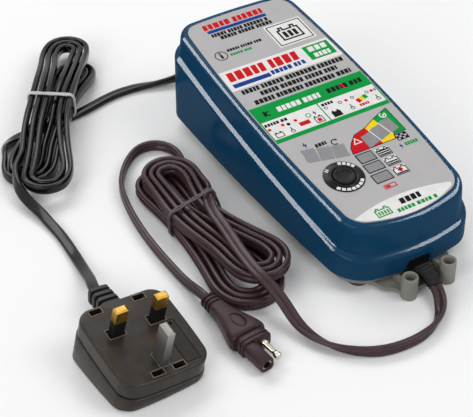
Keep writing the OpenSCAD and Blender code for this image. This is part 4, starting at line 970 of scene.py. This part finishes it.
class CHARGER_OT_plug(bpy.types.Operator):
    """Builds the plug's two halves with their parting groove, the lips on its face and its lead's ribbed sleeve"""
    bl_idname = "charger.plug"
    bl_label = "Plug"

    def execute(self, context):
        # Glass-filled nylon, moulded: dark brown grey, faintly mottled, with a dull sheen.
        nylon = moulded("nylon_plug_moulded", colours().plug, grain=0.5, cloud=5, spread=0.3,
                        rough=(0.26, 0.42), bump=0.02, IOR=1.5, gloss=0.24)
        self.pin_half(nylon)
        self.lips()
        self.back_half(nylon)
        self.sleeve()
        return {"FINISHED"}

    def pin_half(self, nylon):
        """The half with the face: a rounded edge, pockets round the line pins, vents, and slots for
        the pins and the fuse carrier."""
        edge = [plug_ring(-1.2 * (1 - math.cos(t)), -1.2 * (1 - math.sin(t)))
                for t in np.radians(np.linspace(0, 90, 7))]
        upper = solid("plug_pin_half", on_plug(loft([plug_ring(-.4, -9), plug_ring(0, -8.6)] + edge)), nylon, 30)
        pockets = [box(s * LINE_X - 4.2, LINE_Y - 2.2, -.8, s * LINE_X + 4.2, LINE_Y + 3.2, 2) for s in (-1, 1)]
        pockets += [box(x - 3.1, y - 1.5, -6, x + 3.1, y + 1.5, 4) for x, y in VENTS]
        slots = [box(s * LINE_X - 3.3, LINE_Y - 2.15, -20, s * LINE_X + 3.3, LINE_Y + 2.15, 20) for s in (-1, 1)]
        slots += [box(-2.1, EARTH_Y - 4.1, -20, 2.1, EARTH_Y + 4.1, 20),
                  box(CARRIER[0] - 4.05, CARRIER[1] - 13.15, -20, CARRIER[0] + 4.05, CARRIER[1] + 13.15, 20)]
        cut(upper, on_plug(joined(pockets)), 30)
        cut(upper, on_plug(joined(slots)), 30)
        settle(upper, "plug_black", "plug_base")

    def lips(self):
        """Low lips round the line pins' pockets, the earth pin and the vents, pale with a painted highlight."""
        # Paler nylon on the low lips round the pins and slots: painted highlight standing in for the light caught on
        # their edges.
        lip_painted_highlight = moulded("nylon_lips_rubbed", shade(colours().plug, 6), grain=0.5, cloud=3, spread=0.3,
                       rough=(0.26, 0.4), bump=0.02, IOR=1.5, gloss=0.3)
        lips = [rect(s * LINE_X - 4.75, LINE_Y - 2.7, s * LINE_X + 4.75, LINE_Y + 3.7, .6) for s in (-1, 1)]
        lips += [rect(-2.8, EARTH_Y - 4.8, 2.8, EARTH_Y + 4.8, .6)]
        lips += [rect(x - 3.6, y - 2, x + 3.6, y + 2, .6) for x, y in VENTS]
        lips = joined([frame_band(outline, .42, -.3, .25) for outline in lips])
        settle(solid("plug_lips", on_plug(lips), lip_painted_highlight, 30), "plug_black")

    def back_half(self, nylon):
        """The half that lies on the floor: its sides run down to the height, worked out for each point of the
        outline, at which the leaning plug meets it."""
        full, down = plug_ring(.5, 0), PLUG_TURN[2]
        ground = -(PLUG_PLACE[2] + full[:, 0] * down[0] + full[:, 1] * down[1]) / down[2]
        rows = [plug_ring(*row) for row in (
            (-1, -9), (-1, -9.7), (-.2, -9.75), (.3, -10), (.5, -10.5),
            (.5, ground + 1.1), (.3, ground + .6), (-.2, ground + .35), (-1, ground + .35))]
        lower = solid("plug_back_half", on_plug(loft(rows)), nylon, 30)
        settle(lower, "plug_black", "plug_cover")

    def sleeve(self):
        """Three square plates on a slim core, one behind the other along the lead."""
        # Flexible PVC over the lead's root: black and dull.
        rubber = moulded("pvc_sleeve_moulded", shade(colours().mains, 1.1), grain=0.8, cloud=9, spread=0.15,
                         rough=(0.4, 0.55), bump=0.02, IOR=1.45)
        rows = [(-2.6, 5.9, 4.9), (7.5, 5.9, 4.9), (7.9, 5.7, 4.7), (8, 5.3, 4.3), (8.1, 4.1, 3.3)]
        for i in range(3):
            z, w, h = 9.5 + 4.5 * i, 5.8 - 0.1 * i, 4.8 - 0.1 * i
            rows += [(z, 4, 3.2), (z + .1, w - .5, h - .5), (z + .4, w, h), (z + 2.6, w, h), (z + 2.9, w - .3, h - .3),
                     (z + 3, w - .7, h - .7), (z + 3.1, 4, 3.2)]
        rows += [(21.7, 3.8, 2.9), (22, 3.5, 2.5)]
        turn = about(Y, 6) @ about(X, -94)
        boot = solid("plug_sleeve", moved(stacked(rows, .42), turn, (-149.6, -51.5, 11.5)), rubber, 30)
        settle(boot, "plug_black", "plug_strain_relief")


class CHARGER_OT_connector(bpy.types.Operator):
    """Builds the two-pole connector: ribbed neck, bulb with an oval grip, collar, nose and bare pin"""
    bl_idname = "charger.connector"
    bl_label = "Connector"

    def execute(self, context):
        # Soft-touch PVC moulded over the contacts: brown black, satin.
        soft = moulded("pvc_connector_moulded", shade(colours().battery, 0.86), grain=0.6, cloud=7, spread=0.16,
                       rough=(0.24, 0.36), bump=0.015, IOR=1.47, gloss=0.14)
        turn, place = about(Z, 5) @ about(X, 90), np.array([-103.2, -57.5, 6.0])
        grip, contact = [0, -26.5], (4, 0, 0)
        make = lambda name, part, node, angle=40: settle(
            solid(name, moved(part, turn, place), soft, angle), "battery_jacket", node)
        rows = np.array([(8.5, 4.4, 4), (12, 4.7, 4.3), (16, 5.3, 4.7), (20, 6.4, 5.1), (24, 7.7, 5.5), (28, 9, 5.8),
                         (31.5, 9.9, 6), (34, 10.1, 6), (35.5, 9.5, 5.7)])
        bulb = make("connector_bulb", stacked(curved(rows, 4), .6, 56), "connector_body")
        oval = disc(0, 0, 1, 48) * [3.4, 6] + grip
        cut(bulb, moved(prism(oval, 4.75, 9), about(Z, 5), place), 40)
        ring = moved(loft([np.column_stack([disc(0, 0, 1, 48) * [2.6 - d, 5.2 - d] + grip, np.full(48, z)])
                           for d, z in ((0, 4), (0, 5), (.25, 5.25), (.8, 5.35))]), about(Z, 5), place)
        settle(solid("connector_grip", ring, soft, 40), "battery_jacket")
        neck = [(0, 3.4, 3), (.5, 3.6, 3.2)]
        for i in range(3):
            z, r = .6 + 2.6 * i, 4.2 + .15 * i
            neck += [(z, r - .6, r - .9), (z + .25, r, r - .3), (z + 1.25, r, r - .3), (z + 1.5, r - .5, r - .8),
                     (z + 1.7, r - 1, r - 1.2), (z + 2.4, r - 1, r - 1.2)]
        make("connector_neck", stacked(neck + [(8.5, 4.2, 3.9)], .75), "connector_strain_relief", 30)
        w, h = 7.9, 4.6
        collar = [(35.5, w, h), (37.9, w, h)]
        for z in (38, 40.3):
            collar += [(z, w + .3, h + .2), (z + .25, w + .8, h + .6), (z + 1.1, w + .8, h + .6),
                       (z + 1.35, w + .3, h + .2), (z + 1.4, w, h), (z + 2.25, w, h)]
        make("connector_ridges", stacked(collar[:-1], .5, 64), "connector_collar", 30)
        tube = stacked([(41.7, 3.9, 3.9), (55.1, 3.85, 3.85), (55.5, 3.7, 3.7), (55.7, 3.4, 3.4)], .62)
        nose = make("connector_mouth", moved(tube, shift=np.negative(contact)), "connector_nose", 30)
        bore = moved(lathe([[2.75, 42.7], [2.75, 60]], 40), shift=np.negative(contact))
        cut(nose, moved(bore, turn, place), 30)
        # Nickel-plated brass, turned: bright, warm grey, with fine rings from the lathe.
        nickel = moulded("nickel_plated_turned", "#c9c2b4", grain=0.4, cloud=3, spread=0.08,
                         rough=(0.16, 0.28), bump=0.006, stretch=(1, 6, 1), Metallic=1.0)
        pin = lathe([[2, 41.7], [2, 43.2], [1.75, 43.6], [1.45, 44], [1.45, 49.5], [1.2, 49.8], [1.2, 50.3],
                     [1.45, 50.6], [1.5, 51], [1.9, 51.9], [2, 52.7], [1.9, 53.5], [1.5, 54.2], [.9, 54.6],
                     [.25, 54.7]], 40)
        pin = moved(pin, shift=contact)
        settle(solid("contact_pin", moved(pin, turn, place), nickel, 40), "contact", "connector_pin")
        return {"FINISHED"}


def hull_wire(points, half_v, half_z, radius, strands, place):
    """Wire drawn tight round oval strands: for each direction the strand that reaches farthest gives its own
    touching point, pushed out by the wire's radius; turned to equal steps and swept as closed rings."""
    a = np.linspace(0, 2 * np.pi, 721)[:-1]
    n = np.column_stack([np.cos(a), np.sin(a)])
    reach = np.sqrt((half_v * n[:, 0]) ** 2 + (half_z * n[:, 1]) ** 2)
    far = (points @ n.T).argmax(0)
    line = points[far] + n * [half_v**2, half_z**2] / reach[:, None] + n * (radius + 0.1)
    line[:, 1] = np.maximum(line[:, 1], radius + 0.05)
    loop = np.vstack([line, line[:1]])
    s = np.concatenate([[0], np.cumsum(np.linalg.norm(np.diff(loop, axis=0), axis=1))])
    t = np.linspace(0, s[-1], 161)[:-1]
    line = np.column_stack([np.interp(t, s, loop[:, i]) for i in (0, 1)])
    way = np.roll(line, -1, 0) - np.roll(line, 1, 0)
    way /= np.linalg.norm(way, axis=1)[:, None]
    out = np.column_stack([way[:, 1], -way[:, 0]])
    sides = 12
    b = np.arange(sides) * 2 * np.pi / sides
    parts = []
    for k in range(strands):
        phase = 2 * np.pi * (t / s[-1] * 9 + k / strands)
        along = (k - (strands - 1) / 2) * 2.1 * radius + 0.15 * np.sin(phase)
        rings = np.empty((len(t), sides, 3))
        rings[..., 0] = along[:, None] + radius * np.cos(b)
        rings[..., 1:] = line[:, None] + out[:, None] * (radius * np.sin(b))[None, :, None]
        parts.append(moved(loft(rings, wrap=True), *place))
    return joined(parts)


class CHARGER_OT_ties(bpy.types.Operator):
    """Winds a thin coated wire round the waist of each hank"""
    bl_idname = "charger.ties"
    bl_label = "Wire ties"

    def execute(self, context):
        radius = sizes().tie_wire / MM
        for name, lead, hank, at, half, slot, node, colour in (
                ("mains_wire_tie", "mains_lead", MAINS_HANK, 2, (1.7, 3), "tie_light", "mains_tie", "#c4c4c0"),
                ("battery_wire_tie", "battery_lead", BATTERY_HANK, 1, (1.65, 3.3), "tie_dark", "dc_tie", "#4d4448")):
            c, s = math.cos(math.radians(hank["turn"])), math.sin(math.radians(hank["turn"]))
            rel = PATHS[lead][0] - [*hank["c"], 0]
            u, v = rel[:, 0] * c + rel[:, 1] * s, rel[:, 0] * s - rel[:, 1] * c
            # Points of the runs that the tie holds; lower ones belong to the stretch beneath the hank.
            near = (np.abs(u - at) < 1.2) & (np.abs(v) < 20) & (rel[:, 2] > 2.6)
            if near.sum() < 8:
                raise RuntimeError("no runs of the hank at its tie")
            runs = np.column_stack([v[near], rel[near, 2]])
            turn = np.array([[c, s, 0], [s, -c, 0], [0, 0, 1]])
            where = np.array([*hank["c"], 0]) + turn @ [at, 0, 0]
            # PVC-coated steel wire: satin, with a faint lengthwise shine.
            coat = moulded("pvc_wire_coated_" + lead.split("_")[0], colour, grain=0.5, cloud=6, spread=0.1,
                           rough=(0.3, 0.45), bump=0.01, IOR=1.5)
            wire = hull_wire(runs, *half, radius, 2, (turn, where))
            settle(solid(name, outward(*wire), coat, 60), slot, node)
        return {"FINISHED"}


class CHARGER_OT_sleeves(bpy.types.Operator):
    """Moulds the sleeve round each lead where it leaves the case, and lays the wires behind them"""
    bl_idname = "charger.sleeves"
    bl_label = "Lead sleeves"

    def execute(self, context):
        # Flexible PVC, moulded on the lead: black, dull, in flat ribs that thin out to the lead.
        rubber = moulded("pvc_gland_moulded", "#111112", grain=0.8, cloud=6, spread=0.15,
                         rough=(0.34, 0.46), bump=0.02, IOR=1.45, gloss=0.25)
        shape = squared(.6, 48)[:, ::-1]
        shape[:, 0] *= 1 - 0.22 * np.exp(-(shape[:, 1] / 0.16) ** 2)
        count = 96
        for name, lead, s, roll, long, wide, thin, node in (
                ("battery_sleeve", "battery_lead", -1, 90, 12.5, (6.2, 3.9), (2.7, 1.95), "dc_gland"),
                ("mains_sleeve", "mains_lead", 1, 0, 10.5, (4.3, 3.6), (4.3, 2.2), "mains_gland")):
            path = PATHS[lead][0]
            if s > 0:
                path = np.vstack([np.column_stack([np.zeros(8), np.linspace(97, 105, 8), np.full(8, 9.5)]), path[:4]])
            length = np.concatenate([[0], np.cumsum(np.linalg.norm(np.diff(path, axis=0), axis=1))])
            t = np.linspace(0, long, count)
            line = np.column_stack([np.interp(t, length, path[:, i]) for i in range(3)])
            part = t / t[-1]
            rib = 0.94 + 0.06 * np.clip(np.cos(2 * np.pi * 7 * part) * 3, -1, 1)
            w = (wide[0] + (wide[1] - wide[0]) * part) * rib
            h = (thin[0] + (thin[1] - thin[0]) * part) * rib
            skin = swept(line, np.full(count, roll), shape[None] * np.stack([h, w], -1)[:, None])
            arch = NOTCH * [0.94, 1] - [0, 0.4]
            arch = arch[arch[:, 1] > 5.25]
            block = loft([np.column_stack([arch[:, 0], np.full(len(arch), s * y), arch[:, 1]]) for y in (83.2, 93.8)])
            settle(solid(name, joined([skin, block]), rubber, 35), "gland_black", node)
        self.wires()
        return {"FINISHED"}

    def wires(self):
        """Two wires behind each sleeve, a little wavy, as long as their solid."""
        core = disc(0, 0, 1.1, 12)
        for name, node, colour in (("mains_wires", "mains_tails", "#6e4326"),
                                   ("battery_wires", "dc_tails", "#8a1f1f")):
            # Wire insulation, extruded PVC: smooth, evenly coloured, with a soft shine.
            jacket = moulded("pvc_wire_" + name.split("_")[0], colour, grain=0.6, cloud=5, spread=0.1,
                             rough=(0.3, 0.42), bump=0.01, IOR=1.5)
            t = np.linspace(0, 1, 24)
            (_, y0, z0), (_, y1, z1) = np.asarray(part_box(node)) / MM
            parts = [swept(np.column_stack([x + .35 * np.sin(2 * np.pi * t), y0 + (y1 - y0) * t,
                                            np.full(len(t), (z0 + z1) / 2)]), 0 * t, core) for x in (-2.2, 2.2)]
            settle(solid(name, joined(parts), jacket, 60), "wire_red", node)


# Finishes of the solids: their nodes, the material's name, a hex code or the name of a colour, and settings.
FINISHES = (
    # Polycarbonate film, velvet-etched: pale grey, even and matt.
    ("label_overlay", "polycarbonate_film_etched", "film",
     dict(grain=0.5, cloud=12, spread=0.03, rough=(0.55, 0.65), bump=0.004, IOR=1.5, gloss=0.08)),
    # The same film left clear over a grey layer: a little darker and glossier.
    ("indicator_windows", "polycarbonate_window_smoked", "#8e8d90",
     dict(cloud=6, spread=0.05, rough=(0.3, 0.4), bump=0.004, IOR=1.5)),
    # Soft rubber: dark green grey, dull, faintly dusty.
    ("rubber_feet", "rubber_foot_moulded", "#3b3f3b", dict(cloud=4, spread=0.15, rough=(0.6, 0.8), bump=0.03)),
    # Drawn brass pins: golden, with fine lengthwise lines from the die.
    ("line_pins", "brass_pin_drawn", "brass",
     dict(grain=0.5, cloud=4, spread=0.18, rough=(0.2, 0.36), bump=0.01, stretch=(1, 1, .12), Metallic=1.0)),
    # Black nylon on the pins' roots: dull and even.
    ("pin_sleeves", "nylon_sleeve_moulded", "#141416",
     dict(cloud=3, spread=0.15, rough=(0.34, 0.48), IOR=1.53, gloss=0.15)),
    # Nylon like the plug's own, a shade darker, with a finer grain.
    ("fuse_carrier", "nylon_carrier_moulded", "#231d1a",
     dict(grain=0.4, cloud=3, spread=0.25, rough=(0.26, 0.42), bump=0.02, IOR=1.53, gloss=0.2)),
    # Nickel plate on a turned contact: pale and bright.
    ("socket_terminal", "nickel_contact_turned", "#bdb9b0",
     dict(cloud=3, rough=(0.2, 0.3), bump=0.006, Metallic=1.0)),
    # Zinc-plated steel: cool grey, lightly clouded.
    ("case_screws board_screws", "zinc_steel_plated", "#a9abab",
     dict(cloud=2, spread=0.1, rough=(0.28, 0.4), bump=0.01, Metallic=1.0)),
    # Rolled aluminium plate: pale, with straight brush lines.
    ("switch_heatsink output_heatsink", "aluminium_rolled", "#b9bcbe",
     dict(grain=0.5, rough=(0.3, 0.42), stretch=(1, .06, 1), Metallic=1.0)),
    # Moulded epoxy: black, matt, with a fine peppery grain.
    ("bridge_rectifier power_transistors output_diode controller_chip tact_switch switch_actuator",
     "epoxy_package_moulded", "#161617", dict(grain=0.3, rough=(0.5, 0.65), bump=0.015)),
    # Pressed ferrite: charcoal, dry, lightly speckled.
    ("line_choke transformer_core", "ferrite_sintered", "#333436",
     dict(grain=0.4, cloud=2, spread=0.2, rough=(0.6, 0.75), bump=0.03)),
    # Enamelled copper wound in layers: red gold with a line for each turn of about 0.8 mm.
    ("transformer_winding output_choke", "copper_enamelled_wound", "#b06a3a",
     dict(grain=0.8, cloud=5, spread=0.2, rough=(0.22, 0.32), bump=0.06, stretch=(.1, .1, 1), Metallic=0.8)),
    # Shrunk PVC on aluminium cans: blue black, glossy.
    ("bulk_capacitor output_capacitors", "pvc_can_shrunk", "#232e5c",
     dict(cloud=7, rough=(0.2, 0.3), bump=0.01, IOR=1.5)),
    # Glazed ceramic tube: off-white, smooth.
    ("input_fuse plug_fuse", "ceramic_tube_glazed", "#d8d2c2",
     dict(cloud=4, spread=0.05, rough=(0.2, 0.3), bump=0.008)),
    # Polyester box: yellow, satin.
    ("x_capacitor", "polyester_box_moulded", "#d8ae3a", dict(cloud=5, rough=(0.35, 0.45))),
    # Relay cover: blue nylon, satin.
    ("output_relay", "nylon_relay_moulded", "#2d5ea3", dict(cloud=5, rough=(0.3, 0.4))),
    # Liquid-crystal polymer strip: cream, matt.
    ("display_link", "polymer_strip_moulded", "#d8d3c6", dict(cloud=3, rough=(0.5, 0.6))),
    # Clear epoxy lens: water white, sharp reflections.
    ("status_leds", "epoxy_lens_cast", "#e6e6e0",
     {"cloud": 2, "spread": 0.03, "rough": (0.06, 0.12), "bump": 0, "Transmission Weight": 0.7}))


class CHARGER_OT_finishes(bpy.types.Operator):
    """Gives each solid that stays in view, and each one inside, its finish"""
    bl_idname = "charger.finishes"
    bl_label = "Finishes"

    def execute(self, context):
        for nodes, name, colour, settings in FINISHES:
            self.coat(nodes, moulded(name, colour if colour[0] == "#" else getattr(colours(), colour), **settings))
        self.coat("earth_pin", self.earth())
        self.coat("main_board display_board", self.board())
        return {"FINISHED"}

    def coat(self, nodes, mat):
        """Gives solids one material in the place of their own."""
        for node in nodes.split():
            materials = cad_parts[node].data.materials
            materials.clear()
            materials.append(mat)

    def earth(self):
        """Nickel on brass, paler towards the tip: the colour runs along the plug's own axis."""
        mat, tree, place = blank("nickel_pin_rubbed")
        axis = PLUG_TURN[:, 2]
        along = add(tree, "ShaderNodeVectorMath", {0: place}, operation="DOT_PRODUCT")
        along.inputs[1].default_value = axis
        start = float(axis @ PLUG_PLACE) * MM
        part = add(tree, "ShaderNodeMapRange", {"Value": along.outputs["Value"]},
                   **{"From Min": start + 0.012, "From Max": start + 0.022})
        # Rub marks about 0.6 mm apart across the pin, drawn coarse enough to show.
        lines = add(tree, "ShaderNodeTexNoise", {"Vector": place}, Scale=1000 / 0.6, Detail=2.0)
        # Darker near the plug's face, paler towards the tip.
        ramp = add(tree, "ShaderNodeValToRGB", {"Fac": part.outputs["Result"]})
        ramp.color_ramp.elements[0].color, ramp.color_ramp.elements[1].color = linear("#6e6d6c"), linear("#9c9a96")
        rough = add(tree, "ShaderNodeMapRange", {"Value": lines.outputs["Fac"]}, **{"To Min": 0.3, "To Max": 0.5})
        body = add(tree, "ShaderNodeBsdfPrincipled", {"Base Color": ramp.outputs["Color"],
                                                      "Roughness": rough.outputs["Result"]}, Metallic=0.75)
        add(tree, "ShaderNodeOutputMaterial", {"Surface": body.outputs["BSDF"]})
        return mat

    def board(self):
        """Solder mask over copper: green, satin, with paler straight tracks 2.5 mm apart."""
        mat, tree, place = blank("glass_epoxy_masked")
        track = add(tree, "ShaderNodeTexBrick", {"Vector": place}, Scale=1000 / 2.5, Color1=linear("#1c5f37"),
                    Color2=linear("#185531"), Mortar=linear("#3d8a55"), **{"Mortar Size": 0.06})
        lift = add(tree, "ShaderNodeBump", {"Height": track.outputs["Fac"]}, Strength=0.4, Distance=0.03 * MM)
        body = add(tree, "ShaderNodeBsdfPrincipled", {"Base Color": track.outputs["Color"],
                                                      "Normal": lift.outputs["Normal"]}, Roughness=0.4)
        add(tree, "ShaderNodeOutputMaterial", {"Surface": body.outputs["BSDF"]})
        return mat


class CHARGER_OT_lead_ends(bpy.types.Operator):
    """Takes no step of its own: the leads, their ties, sleeves and end pieces are built by the other operators."""
    bl_idname = "charger.lead_ends"
    bl_label = "Lead ends"

    def execute(self, context):
        return {"FINISHED"}


CLASSES = [ChargerSizes, ChargerColours, CHARGER_OT_stage, CHARGER_OT_mains_lead, CHARGER_OT_battery_lead,
           CHARGER_OT_case, CHARGER_OT_label, CHARGER_OT_button, CHARGER_OT_plug, CHARGER_OT_connector,
           CHARGER_OT_ties, CHARGER_OT_sleeves, CHARGER_OT_finishes, CHARGER_OT_lead_ends]


class CHARGER_PT_panel(bpy.types.Panel):
    """Lists the charger's pieces and settings"""
    bl_idname = "CHARGER_PT_panel"
    bl_label = "Charger"
    bl_space_type = "VIEW_3D"
    bl_region_type = "UI"
    bl_category = "Charger"

    def draw(self, context):
        for cls in CLASSES:
            if issubclass(cls, bpy.types.Operator):
                self.layout.operator(cls.bl_idname)
        for group in (sizes(), colours()):
            column = self.layout.column()
            for key in group.bl_rna.properties.keys():
                if key not in ("rna_type", "name"):
                    column.prop(group, key)


def register():
    for cls in CLASSES + [CHARGER_PT_panel]:
        bpy.utils.register_class(cls)
    bpy.types.Scene.charger_sizes = PointerProperty(type=ChargerSizes)
    bpy.types.Scene.charger_colours = PointerProperty(type=ChargerColours)


def unregister():
    del bpy.types.Scene.charger_sizes
    del bpy.types.Scene.charger_colours
    for cls in reversed(CLASSES + [CHARGER_PT_panel]):
        bpy.utils.unregister_class(cls)


def main():
    register()
    ops = bpy.ops.charger
    for build in (ops.stage, ops.mains_lead, ops.battery_lead, ops.case, ops.label, ops.button, ops.plug,
                  ops.connector, ops.ties, ops.sleeves, ops.finishes, ops.lead_ends):
        build()
    bpy.context.view_layer.update()


if __name__ == "__main__":
    main()
